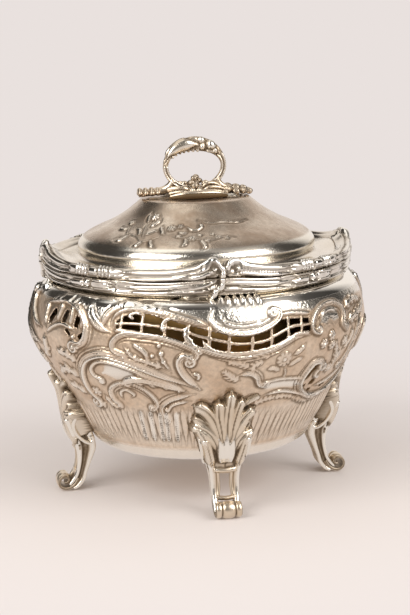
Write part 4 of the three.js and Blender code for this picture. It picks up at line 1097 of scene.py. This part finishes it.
foot = {
    "leaf": [(56.4, 18.6), (56.7, 20.6), (57.8, 24), (59.8, 27.6), (61.2, 31), (61.8, 35),
        (61.9, 39), (62.3, 43), (63.4, 47.5), (65.5, 52), (67.8, 57), (69.2, 60.2)],
    "legs": [((62.4, 34), (53.4, 34), 9.2), ((61.0, 29.6), (51.0, 29.6), 7.9),
        ((59.2, 25), (49.2, 24), 6.9), ((57.6, 21), (48.6, 19.4), 5.8),
        ((56.8, 17.6), (49.8, 15.6), 5.2), ((56.6, 14), (51.2, 12), 5.0),
        ((57.0, 10.6), (52.6, 8.2), 4.9), ((58.0, 7.6), (53.7, 4.6), 4.8),
        ((59.6, 5.0), (56.2, 1.6), 4.8), ((61.0, 3.2), (58.4, 0.6), 4.8)],
    "toe": [(56.6, 5.6), (58.2, 3.0), (60.4, 1.5), (62.8, 1.2), (64.6, 2.3), (65.1, 4.2),
        (64.2, 6.0), (62.4, 6.6), (61.0, 5.5), (61.3, 4.0), (62.6, 3.7)],
    "halfWidth": 5.6, "leafThick": 0.9,
    # round a leg: along and across, painted shade and painted highlight; two ribs with a groove
    # between them, the groove painted dark and the ribs painted light
    "section": [(1.0, -0.7, 0.2, 0), (1.06, 0, 0, 0.5), (1.04, 0.5, 0, 1), (0.92, 0.9, 0, 1),
        (0.72, 1.05, 0, 1), (0.5, 0.95, 0, 0.8), (0.38, 0.6, 0.5, 0), (0.3, 0.15, 1.12, 0),
        (0.0, 0.0, 0.8, 0), (-0.22, 0.1, 1.0, 0), (-0.32, 0.5, 0.5, 0), (-0.46, 0.82, 0, 0.7),
        (-0.68, 0.9, 0, 1), (-0.88, 0.75, 0, 0.7), (-1.0, 0.45, 0.2, 0.2), (-1.04, 0, 0.4, 0),
        (-1.0, -0.7, 0.6, 0), (-0.8, -1, 0.6, 0), (0, -1, 0.6, 0), (0.8, -1, 0.4, 0)],
    "strand": [(57.0, 10.9, 36), (58.6, 10.3, 31.6), (57.4, 9.5, 27.4), (54.4, 8.6, 23.8),
        (51.6, 8.0, 22.2), (49.9, 7.8, 23.4), (50.5, 7.8, 25.1), (51.8, 7.9, 24.5)],
    "crossbars": [("sill", [(57.0, -4.6, 7.8), (57.5, 0, 7.3), (57.0, 4.6, 7.8)], 1.0),
                  ("lintel", [(56.4, -4.8, 19.9), (57.0, 0, 19.4), (56.4, 4.8, 19.9)], 1.35)],
    "innerBar": [(56.0, 3.2, 20.4), (55.4, 2.9, 16), (55.8, 2.8, 12), (56.8, 3.3, 8.2)],
    "core": [(20.2, 48.6, 54.6, 4.6), (24, 49.6, 56.6, 5.0), (28, 51.0, 58.4, 5.6),
        (33, 53.2, 59.6, 6.2), (38, 56.2, 60.0, 6.4), (43, 58.8, 60.8, 6.0)]}


def footStrokes(f):
    def spread(points):
        return [(x * (1 + 0.14 * float(smoothstep(z, 30, 42))), z) for x, z in points]

    for side in (-1, 1):
        lay(f, "flat", 3.6, 0.3,
            [(side * 5.6, 40), (side * 5.4, 34), (side * 4.2, 27), (side * 3.2, 21)], ends=(0, 0),
            groove=0)
    lay(f, "flat", 5.0, 0.3, [(0, 46), (0, 40), (0, 33)], ends=(0, 0), groove=0)
    for half, rise, points in (
            (2.8, 1.9, [(-3.6, 27), (-5.0, 32.6), (-8.0, 37.4), (-13.0, 40.0)]),
            (2.2, 1.4, [(-3.4, 32), (-6.2, 38.4), (-9.6, 42.2), (-12.4, 43.0)]),
            (3.0, 2.0, [(-2.4, 29), (-3.4, 37), (-5.4, 43.4), (-8.4, 47.6), (-12.0, 49.4)]),
            (2.6, 2.1, [(-1.2, 29), (-1.7, 38), (-2.6, 45), (-2.8, 52)]),
            (2.5, 2.3, [(0.3, 29), (0.5, 39), (1.0, 47), (1.6, 56)]),
            (2.5, 2.1, [(1.6, 29), (2.6, 38), (4.0, 45), (5.8, 52.6)]),
            (2.9, 1.9, [(2.6, 29), (3.9, 36.6), (6.8, 42.8), (11.4, 46.8)]),
            (1.5, 1.2, [(5, 46.6), (8.6, 50.2), (13.0, 52.2)]),
            (2.4, 1.8, [(3.8, 27), (5.2, 32.0), (7.6, 35.2), (11.6, 36.6)])):
        lay(f, "lobe", half * 1.06, rise, spread(points), ends=(0.5, 0.09), groove=0.3)
    lay(f, "dish", 2.7, 1.6, [(7.8, 39.4), (8.8, 40.0)], ends=(0, 0), groove=0.35)
    lay(f, "lobe", 2.2, 2.3, [(-13.6, 40.4), (-10.8, 37.0), (-8.6, 32), (-6.8, 26), (-5.6, 21),
        (-5.3, 19)], ends=(0.2, 0.3), groove=0.3)
    lay(f, "lobe", 2.2, 2.3, [(12.0, 37.6), (9.9, 35.2), (8.2, 31.4), (6.7, 26), (5.6, 21),
        (5.2, 19)], ends=(0.2, 0.3), groove=0.3)
    for x0, x1, half in ((-3.1, -0.4, 3.2), (3.1, 0.4, 3.2), (0, 0, 3.4)):
        lay(f, "shield", half, 2.25, [(x0, 38), (0.6 * x0 + 0.4 * x1, 30), (x1, 23.4)],
            ends=(0.75, 0.1), groove=0.1)
        lay(f, "shine", half, 0, [(x0 * 1.1, 36.5 - 0.6 * abs(x0)), (0.6 * x0 + 0.4 * x1, 30),
            (x1, 23.6)], ends=(0.6, 0.15))
    lay(f, "rib", 1.2, 1.6, [(-3.6, 19.9), (0, 19.5), (3.6, 19.9)], ends=(0, 0))


def loft(name, rings, shade=0.0, rubAndHighlight=0.0):  # through rings of points, closed at either end
    rings = np.asarray(rings, float)
    ends = [ring.mean(1, keepdims=True) + 0 * ring for ring in (rings[:1], rings[-1:])]
    rings = np.concatenate([ends[0], rings, ends[1]])
    blank = np.zeros(rings.shape[:2])
    # shade is painted shade; the second mark is polish and painted highlight
    piece = meshFrom(name, rings, blank + shade, blank + rubAndHighlight, castSilver, "cast_silver")
    bpy.ops.object.mode_set(mode="EDIT")
    bpy.ops.mesh.select_all(action="SELECT")
    bpy.ops.mesh.normals_make_consistent(inside=False)
    bpy.ops.object.mode_set(mode="OBJECT")
    return piece


# A round bar along a path
def tube(name, path, size, ends=(1, 1), flat=1.0, belly=0.0, axis=(0, 1, 0), shade=0.0, rubAndHighlight=0.0):
    path = evenly(throughPoints(path, 10), 0.5)
    share = np.linspace(0, 1, len(path))[:, None]
    along = np.gradient(path, axis=0)
    along /= np.linalg.norm(along, axis=1, keepdims=True)
    if abs(along[len(along) // 2, 1]) > 0.8:
        axis = (1, 0, 0)
    across = np.cross(along, np.array(axis, float))
    across /= np.maximum(np.linalg.norm(across, axis=1, keepdims=True), 1e-6)
    deep = np.cross(across, along)
    taper = np.maximum(1 - belly * np.abs(2 * share - 1) ** 2.4, 0.08)
    swell = size * (ends[0] + (ends[1] - ends[0]) * share) * taper
    turn = np.linspace(0, 2 * math.pi, 12, endpoint=False)
    rings = []
    for i, point in enumerate(path):
        sideways = np.outer(np.cos(turn), across[i]) * swell[i]
        rings.append(point + sideways + np.outer(np.sin(turn), deep[i]) * swell[i] * flat)
    return loft(name, rings, shade, rubAndHighlight)


def joined(pieces, name):
    deselectAll()
    for piece in pieces:
        piece.select_set(True)
    bpy.context.view_layer.objects.active = pieces[0]
    bpy.ops.object.join()
    whole = bpy.context.object
    whole.name = name
    whole.data.name = name
    return whole


def footLeaf():
    line = evenly(throughPoints(foot["leaf"], 10), 0.4)
    f = newField(line, -17.6, 0.4, 89, perUnit=1)
    footStrokes(f)
    settle(f)
    radius, height = line[:, :1], line[:, 1:]
    # painted shadow along the leaf's edge, where it is drawn in to the wall
    edgeShadow = (1 - smoothstep(f["cover"], 0.2, 1.3)) * (0.12 + 0.88 * smoothstep(height, 33, 38))
    ridge = np.maximum(0.4 * f["ridge"], f["shine"]) * (1 - edgeShadow)
    hollow = np.maximum(f["hollow"], 0.85 * edgeShadow)
    across = (f["start"] + np.arange(f["count"]) * f["step"])[None, :]
    inside = np.clip(f["cover"], -3, 4)
    x = radius - across**2 / (2 * radius) - 2.6 * (across / 15) ** 2 * smoothstep(height, 21, 31)
    wallX = np.sqrt(np.maximum(bowlRadii(line[:, 1])[:, None] ** 2 - across**2, 0))
    # the leaf's edge is drawn in to the wall
    gap = np.maximum(x - wallX + 0.15, 0) * smoothstep(height, 21, 27)
    x = x - np.minimum(gap, 10) * (1 - smoothstep(inside, -0.35, 1.4)) * smoothstep(height, 24, 29)
    shown = f["done"] * smoothstep(inside, -0.4, 0.3)
    normal = normalsOf(line)
    x, z = x + shown * normal[:, :1], height + shown * normal[:, 1:]
    places = np.stack([x, across + 0 * x, z], -1)
    leaf = meshFrom("footLeaf", places, hollow, ridge, castSilver, "cast_silver",
        drop=outsideOf(inside), wraps=False)
    thicken(leaf, foot["leafThick"])
    return leaf


def outsideOf(inside):  # the faces that lie past the edge of the ornament
    return (inside[:-1, :-1] + inside[1:, :-1] + inside[:-1, 1:] + inside[1:, 1:]) / 4 < -0.35


def footLegs():
    parts = []
    # painted shade in the leg's groove and painted highlight on its ribs
    grooveShade, ribHighlight = ([spot[k] for spot in foot["section"]] for k in (2, 3))
    course = [(*front, *back, wide) for front, back, wide in foot["legs"]]
    course = evenly(throughPoints(course, 8), 0.8)
    for hand in (1, -1):
        rings = []
        for i, row in enumerate(course):
            front, back, wide = row[0:2], row[2:4], row[4]
            middle, arm = (front + back) / 2, (front - back) / 2
            thick = 1.1 + 0.5 * (1 - i / (len(course) - 1))
            rings.append([
                (middle[0] + arm[0] * e, hand * (wide + thick * (s - 0.15)), middle[1] + arm[1] * e)
                for e, s, _, _ in foot["section"]])
        parts.append(loft("leg", rings, grooveShade, ribHighlight))
        strand = [(x, hand * y, z) for x, y, z in foot["strand"]]
        # the strand is painted lighter: polish and painted highlight
        parts.append(tube("strand", strand, 0.95, (1.1, 0.75), rubAndHighlight=0.8))
        parts.append(tube("bar", [(x, hand * y, z) for x, y, z in foot["innerBar"]], 0.85))
    for name, path, size in foot["crossbars"]:
        parts.append(tube(name, path, size, axis=(0, 0, 1)))
    core = []
    for z, x0, x1, y in foot["core"]:
        middle = (x0 + x1) / 2
        core.append([(x1, -y * 0.6, z), (x1, y * 0.6, z), (middle, y, z), (x0, y, z), (x0, -y, z),
            (middle, -y, z)])
    # the filler between the legs and the wall is painted a little dark: painted shade
    parts.append(loft("core", core, 0.3))
    return parts


def footToe():  # a strip with three rolls, curled up and back in
    path = evenly(throughPoints(foot["toe"], 10), 0.35)
    normal = normalsOf(path)
    ys = np.linspace(-1, 1, 49)

    def roll(far):
        return np.sqrt(np.clip(1 - far**2, 0, 1))

    rolls = 0.15 + roll(ys / 0.5) * 1.35 + roll((np.abs(ys) - 0.77) / 0.24) * 0.95
    under = ys[::-3]
    # painted shade between the rolls and under the strip
    tarnishAndShade = np.concatenate([1 - smoothstep(rolls, 0.3, 1.0), np.full(len(under), 0.5)])
    rings = []
    for i, (p, n) in enumerate(zip(path, normal)):
        share = i / (len(path) - 1)
        wide = foot["halfWidth"] * (1 - 0.12 * smoothstep(share, 0.55, 1))
        thick = 0.85 - 0.2 * i / (len(path) - 1)
        sides = [(y, thick * high) for y, high in zip(ys, rolls)]
        sides += [(y, -thick * 0.7) for y in under]
        rings.append([
            (p[0] + n[0] * out, wide * y, max(p[1] + n[1] * out, 0.02)) for y, out in sides])
    return loft("toe", rings, tarnishAndShade)


def buildFoot():
    return joined([footLeaf(), *footLegs(), footToe()], "footPattern")


def placeFeet():
    pattern = buildFoot()
    for name, node, turn in (("footFront", "foot_front", -45), ("footRight", "foot_right", 45),
            ("footBack", "foot_back", 135), ("footLeft", "foot_left", -135)):
        pickOnly(pattern)
        bpy.ops.object.duplicate(linked=False)
        piece = bpy.context.object
        piece.name = name
        piece.data.name = name
        turned(piece, turn)
        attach(piece, "bowl")
        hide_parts(node)
    bpy.data.objects.remove(pattern)


placeFeet()
print("feet built")


# Handle: an oval ring with a lobe and curls over the top, on a bed of leaves and blossoms

handle = {
    "halfWidth": 12.9, "halfHeight": 9.8, "centre": 142.3, "side": 2.9, "top": 7.0, "depth": 3.6,
    "turn": 45, "seat": 129.0, "columns": 170, "rows": 36, "girth": 14.0, "sunk": 0.35,
    "twigs": [
        ([(-9.4, 0, 136.4), (-11.4, 0.4, 133.6), (-15.2, 1.0, 131.9), (-25.0, 1.8, 130.6)],
            1.75, (1.05, 0.8)),
        ([(9.4, 0, 136.4), (11.2, -0.2, 133.8), (14.0, -0.6, 132.4), (19.5, -1.0, 131.2)],
            1.6, (1.1, 0.6))],
    "blade": [(-12.8, -7.4, 130.2), (-7, -9.6, 130.9), (0, -10.2, 131.1), (8, -9.4, 130.9),
        (14.0, -7.2, 130.1)],
    "stems": [
        ([(2.2, -2.2, 131.4), (4.4, -2.8, 134.4), (8.0, -2.4, 134.6), (11.4, -1.4, 132.8)],
            1.0, (0.7, 0.9)),
        ([(2.4, -4.6, 131.2), (5.4, -5.4, 133.2), (9.8, -5.0, 133.0), (14.0, -3.8, 131.2)],
            1.15, (0.7, 0.6)),
        ([(-2.6, -4.2, 131.4), (-5.6, -5.0, 133.0), (-9.6, -4.0, 133.0), (-12.6, -2.0, 132.4)],
            1.35, (0.8, 0.9)),
        ([(-3.4, -7.2, 131.0), (-7.4, -7.4, 131.9), (-12.6, -5.4, 131.2)], 1.2, (0.8, 0.5))],
    "buds": [((-2.4, -6.4, 132.2), 1.7), ((-1.0, -5.2, 134.2), 1.6), ((-2.2, -3.4, 135.4), 1.5),
        ((-0.8, -2.2, 137.2), 1.35), ((0.8, -7.0, 132.2), 1.5), ((-0.2, -1.0, 134.6), 1.6)],
    # round the twig
    "bands": [(-16.6, 1.5, 1.3), (-19.2, 1.9, 1.45), (-21.9, 1.7, 1.35), (-24.4, 1.0, 1.35)],
    "spray": [((14.4, -3.2, 131.8), 2.0), ((14.8, 1.6, 132.4), 2.0), ((15.4, 5.2, 131.2), 1.8),
        ((17.4, -4.6, 131.0), 1.8), ((18.0, -0.8, 132.0), 2.1), ((18.4, 3.4, 131.6), 1.9),
        ((21.0, -3.0, 131.0), 1.8), ((21.4, 0.8, 131.4), 1.9), ((21.2, 4.2, 130.6), 1.6),
        ((24.0, -1.2, 130.4), 1.6), ((24.0, 2.2, 130.4), 1.5), ((12.4, -6.2, 131.0), 1.5)]}


# at(turn) is the way along the ring. Round its section the inside is at 0, the front at 3.5,
# the outside at 7 and the back at 10.5.
def ringStrokes(f, at):
    for face, side in ((3.5, 1), (10.5, -1)):
        lay(f, "rib", 2.3, 1.1, [(at(166), face + 0.9 * side), (at(140), face + 0.5 * side),
            (at(115), face + 0.2 * side), (at(82), face - 0.2 * side)], ends=(0.4, 0.4), groove=0.4)
        lay(f, "rib", 0.6, 0.8, [(at(160), face + 2.6 * side), (at(130), face + 2.9 * side),
            (at(100), face + 2.6 * side)], groove=0.3)
        for turn, v, size in ((77, 1.6, 1.25), (73, -0.9, 1.15), (57, 0.9, 1.9), (44, -0.4, 1.1)):
            knob(f, (at(turn), face + v * side), size, size * 0.8)
        lay(f, "rib", 0.8, 0.8, [(at(64), face - 2.2 * side), (at(50), face - 1.6 * side),
            (at(34), face - 0.6 * side)], groove=0.3)
        for a0, a1 in ((172, 262), (-52, 34)):
            for v in (-1.2, 1.4):
                lay(f, "rib", 0.75, 0.5,
                    [(at(a0), face + v * side), (at((a0 + a1) / 2), face + v * side),
                    (at(a1), face + v * side)], ends=(0.1, 0.1), groove=0.4)
        for turn in (150, 139, 128, 117, 106, 95, 84):
            lay(f, "rib", 0.8, 0.8,
                [(at(turn), face - 1.9 * side), (at(turn - 4), face - 3.3 * side)], ends=(0.1, 0.3),
                groove=0.35)


def handleRing():
    turns = np.linspace(-90, 270, 1441)
    angle = np.radians(turns)
    oval = [np.cos(angle) * handle["halfWidth"], np.sin(angle) * handle["halfHeight"]]
    run = runOf(np.stack(oval, 1))
    count, rows = handle["columns"], handle["rows"]
    f = newField([(0, v) for v in np.linspace(0, handle["girth"], rows)], 0, run[-1] / count, count,
        turn=run[-1], perUnit=1)
    ringStrokes(f, lambda turn: float(np.interp(turn, turns, run)))
    settle(f)
    turn = np.radians(np.interp(np.arange(count) * run[-1] / count, run, turns))[None, :]
    section = np.linspace(0, 2 * math.pi, rows)[:, None]
    out = np.stack([np.cos(turn) * handle["halfHeight"], np.sin(turn) * handle["halfWidth"]])
    out = out / np.hypot(out[0], out[1])
    swell = np.maximum(np.sin(turn), 0) ** 2
    thick = (handle["side"] + (handle["top"] - handle["side"]) * swell) / 2
    rise = f["done"] - handle["sunk"]
    across = -np.cos(section) * (thick + rise * 0.75)
    deep = -np.sin(section) * (handle["depth"] / 2 + rise)
    along = np.cos(turn) * handle["halfWidth"] + out[0] * across
    height = handle["centre"] + np.sin(turn) * handle["halfHeight"] + out[1] * across
    places = np.stack([along, deep + 0 * along, height], -1)
    return meshFrom("handleRing", places, f["hollow"], f["ridge"], castSilver, "cast_silver")


def mountStrokes(f):  # along the ring's plane, and towards the front
    lay(f, "flat", 10.6, 0.7, [(0, 0.2), (0.1, 0.3)], ends=(0, 0), groove=0)
    lay(f, "flat", 5.6, 0.7, [(9, 1.0), (16, 1.2), (20, 1.4)], ends=(0, 0.1), groove=0)
    for side in (1, -1):
        lay(f, "leaf", 1.7, 1.8, [(9, 0.5 + 5 * side), (13.4, 7.2 * side), (18, 8.4 * side)])
        lay(f, "leaf", 1.5, 1.2, [(-4, 4 * side), (-9, 5.4 * side), (-14, 4.6 * side)])
    lay(f, "flat", 1.5, 0.4, [(-9, 1.2), (-16, 1.6), (-22, 1.8)], ends=(0, 0.1), groove=0)


def bud(at, size):  # a small closed blossom with five petals
    turn = np.linspace(0, 2 * math.pi, 16)[:-1]
    petals = np.cos(5 * turn + at[0])
    rings = []
    for climb in np.radians(np.linspace(-72, 76, 7)):
        r = size * math.cos(climb) * (1 + 0.24 * math.cos(climb) * petals)
        height = np.full(15, at[2] + size * 0.9 * math.sin(climb))
        rings.append(np.stack([at[0] + r * np.cos(turn), at[1] + r * np.sin(turn), height], 1))
    # painted shade in the gaps between the petals
    return loft("bud", rings, np.where(petals < -0.3, 0.7, 0.05))


def handleBed():  # the leaves that lie on the dome
    rows = np.arange(-15.2, 15.3, 0.38)
    f = newField([(0, v) for v in rows], -27, 0.38, 142, perUnit=1)
    mountStrokes(f)
    settle(f)
    along = f["start"] + np.arange(f["count"]) * f["step"]
    inside = np.clip(f["cover"], -3, 4)
    lift = f["done"] * smoothstep(inside, -0.3, 0.5)
    u, w = np.meshgrid(along, rows)
    places = np.stack([u, -w, handle["seat"] - 0.1 + lift], -1)
    # the bed is painted darker wherever it lies low between the leaves: painted shade
    hollow = np.maximum(f["hollow"], 0.62 * (1 - smoothstep(f["done"], 0.8, 1.3)))
    return meshFrom("mount", places, hollow, f["ridge"], castSilver, "cast_silver",
        drop=outsideOf(inside), wraps=False, flip=True)


def handleMount():
    parts = [handleBed()]

    def bar(points, size, *more, **named):
        parts.append(tube("bar", points, size, *more, **named))

    for side in (1, -1):  # rails that curl in under the ring
        rail = throughPoints([(side * 10.6, 137.2), (side * 8.2, 134.0), (side * 5.2, 132.9)], 10)
        path, _ = curled(rail, 1.4 * side * -1, 1.1)
        bar([(x, 0.0, z) for x, z in path[::3]], 1.05, (1.0, 0.75), 1.4)
    for twig in handle["twigs"]:
        bar(*twig)
    for face in (1, -1):  # in front and behind: a long leaf over a tube painted dark as the shadow at its edge, then stems and buds
        def facing(points):
            return [(x * face, y * face, z) for x, y, z in points]

        blade = facing(handle["blade"])
        bar(blade, 1.55, flat=0.75, belly=0.85)
        # a tube under the leaf's edge, painted near black as its shadow
        bar([(x * 1.03, y * 1.04, z - 0.75) for x, y, z in blade], 1.5, flat=0.8, belly=0.8,
            shade=1.5)
        bar([(x, y * 0.72, z + 0.55) for x, y, z in blade[1:]], 1.2, flat=0.8, belly=0.8)
        for points, size, ends in handle["stems"]:
            bar(facing(points), size, ends, 0.8)
        for at, size in handle["buds"]:
            parts.append(bud(*facing([at]), size))
    for u, wide, size in handle["bands"]:
        band = [(u, 1.5 - wide - 1.1, 130.6), (u, 1.5 - wide * 0.6, 132.2),
            (u, 1.5 + wide * 0.6, 132.2), (u, 1.5 + wide + 1.1, 130.6)]
        bar(band, size, (0.85, 0.85), axis=(1, 0, 0))
    for at, size in handle["spray"]:
        parts.append(bud(at, size))
    return joined(parts, "handleMount")


def placeHandle():
    for piece, node in ((handleRing(), "handle_ring"), (handleMount(), "handle_mount")):
        turned(piece, handle["turn"])
        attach(piece, "lid")
        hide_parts(node)


placeHandle()
print("handle built")


# Stage and light

stage = {
    "ground": (0.815, 0.753, 0.731), "shade": (0.64, 0.592, 0.57), "room": 0.85,
    "paleRoom": (0.80, 0.74, 0.69),
    "darker": [(-156, 22, [(0.70, 1.0), (0.88, 0.08), (1.0, 0.05)]),
        (64, 18, [(0.70, 1.0), (0.88, 0.10), (1.0, 0.06)]),
        (-48, 22, [(0.60, 1.0), (0.85, 0.28), (1.0, 0.2)]),
        (-60, 56, [(0.86, 1.0), (0.95, 0.4), (1.0, 0.3)]),
        (102, 78, [(0.86, 1.0), (0.97, 0.40), (1.0, 0.32)])],
    "coloured": [(-170, 70, (1.24, 1.2, 1.14), [(0.90, 0.0), (0.96, 1.0)]),
        (115, 16, (0.94, 0.88, 0.83), [(0.72, 0.0), (0.93, 1.0)]),
        (178, 32, (0.05, 0.045, 0.04), [(0.875, 0.0), (0.94, 1.0)])],
    "lamps": [("leftLamp", -99, 32, 1.2, 0.88, 0.8, 9.5),
        ("rightLamp", -2, 32, 1.3, 0.95, 0.9, 9.7)],
    "lampHeight": 0.07, "lampColour": (1.0, 0.985, 0.97), "roomColour": (1.0, 0.96, 0.93, 1),
    "floorRadius": 3, "glowFrom": 0.10, "glowTo": 0.31}


def outward(turn, climb):  # the way to a place at this turn and climb
    turn, climb = math.radians(turn), math.radians(climb)
    return Vector((math.cos(turn) * math.cos(climb), math.sin(turn) * math.cos(climb),
        math.sin(climb)))


def makeFloor(s):
    deselectAll()
    bpy.ops.mesh.primitive_circle_add(vertices=96, radius=s["floorRadius"], fill_type="NGON",
        location=(0, 0, 0))
    floor = bpy.context.object
    floor.name = "floor"
    material, tree, shader = nodesOf("paleFloor")
    link = tree.links.new
    shader.inputs["Base Color"].default_value = (*s["shade"], 1)
    shader.inputs["Roughness"].default_value = 0.9
    glow = addNode(tree, "ShaderNodeEmission", Strength=1.0)
    glow.inputs["Color"].default_value = (*s["ground"], 1)
    place = addNode(tree, "ShaderNodeTexCoord")
    away = addNode(tree, "ShaderNodeVectorMath", operation="LENGTH")
    link(place.outputs["Object"], away.inputs[0])
    far = ramp(tree, away.outputs["Value"], [(s["glowFrom"], grey(0)), (s["glowTo"], grey(1))])
    rays = addNode(tree, "ShaderNodeLightPath")
    seen = sums(tree, "MULTIPLY", far, rays.outputs["Is Camera Ray"])
    near = sums(tree, "ADD", sums(tree, "MULTIPLY", far, 0.2), 0.8)
    mirrored = sums(tree, "MULTIPLY", near, rays.outputs["Is Glossy Ray"])
    mix = addNode(tree, "ShaderNodeMixShader")
    link(sums(tree, "ADD", seen, mirrored, True), mix.inputs[0])
    link(shader.outputs[0], mix.inputs[1])
    link(glow.outputs[0], mix.inputs[2])
    end = next(n for n in tree.nodes if n.type == "OUTPUT_MATERIAL")
    link(mix.outputs[0], end.inputs["Surface"])
    floor.data.materials.append(material)


def makeRoom(s):  # what the silver mirrors: a pale room with darker parts and coloured patches
    world = bpy.data.worlds.new("room")
    scene.world = world
    world.use_nodes = True
    tree = world.node_tree
    link = tree.links.new
    room = next(n for n in tree.nodes if n.type == "BACKGROUND")
    room.inputs["Strength"].default_value = s["room"]
    room.inputs["Color"].default_value = s["roomColour"]
    place = addNode(tree, "ShaderNodeTexCoord")

    def patch(turn, climb, stops):
        facing = addNode(tree, "ShaderNodeVectorMath", operation="DOT_PRODUCT")
        facing.inputs[1].default_value = outward(turn, climb)
        link(place.outputs["Generated"], facing.inputs[0])
        ahead = sums(tree, "MAXIMUM", facing.outputs["Value"], 0.0)
        return ramp(tree, ahead, [(at, grey(value)) for at, value in stops])

    mirrored = s["paleRoom"]
    for turn, climb, stops in s["darker"]:
        mirrored = blendColours(tree, 1.0, mirrored, patch(turn, climb, stops), "MULTIPLY")
    for turn, climb, colour, stops in s["coloured"]:
        mirrored = blendColours(tree, patch(turn, climb, stops), mirrored, colour)
    rays = addNode(tree, "ShaderNodeLightPath")
    seen = rays.outputs["Is Camera Ray"]
    for kind in ("Is Glossy Ray", "Is Transmission Ray"):
        seen = sums(tree, "ADD", seen, rays.outputs[kind], True)
    wall = addNode(tree, "ShaderNodeBackground", Strength=1.0)
    colour = blendColours(tree, rays.outputs["Is Camera Ray"], mirrored, s["ground"])
    link(colour, wall.inputs["Color"])
    mix = addNode(tree, "ShaderNodeMixShader")
    link(seen, mix.inputs[0])
    link(room.outputs[0], mix.inputs[1])
    link(wall.outputs[0], mix.inputs[2])
    end = next(n for n in tree.nodes if n.type == "OUTPUT_WORLD")
    link(mix.outputs[0], end.inputs["Surface"])


def softbox(name, turn, climb, distance, wide, tall, watts):
    out = outward(turn, climb)
    bpy.ops.object.light_add(type="AREA",
        location=out * distance + Vector((0, 0, stage["lampHeight"])))
    lamp = bpy.context.object
    lamp.name = name
    lamp.rotation_euler = out.to_track_quat("Z", "Y").to_euler()
    lamp.data.shape = "RECTANGLE"
    lamp.data.size, lamp.data.size_y = wide, tall
    lamp.data.energy = watts
    lamp.data.color = stage["lampColour"]


makeFloor(stage)
makeRoom(stage)
for lamp in stage["lamps"]:
    softbox(*lamp)
print("stage and lamps ready")

# CAD pieces that keep their shape get their finish
for node, material in (("liner", dullGilt), ("lid_bezel", plainSilver),
                       ("handle_stud", plainSilver), ("handle_washer", plainSilver),
                       ("handle_nut", turnedBrass)):
    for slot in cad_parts[node].material_slots:
        slot.material = material

print("scene ready")
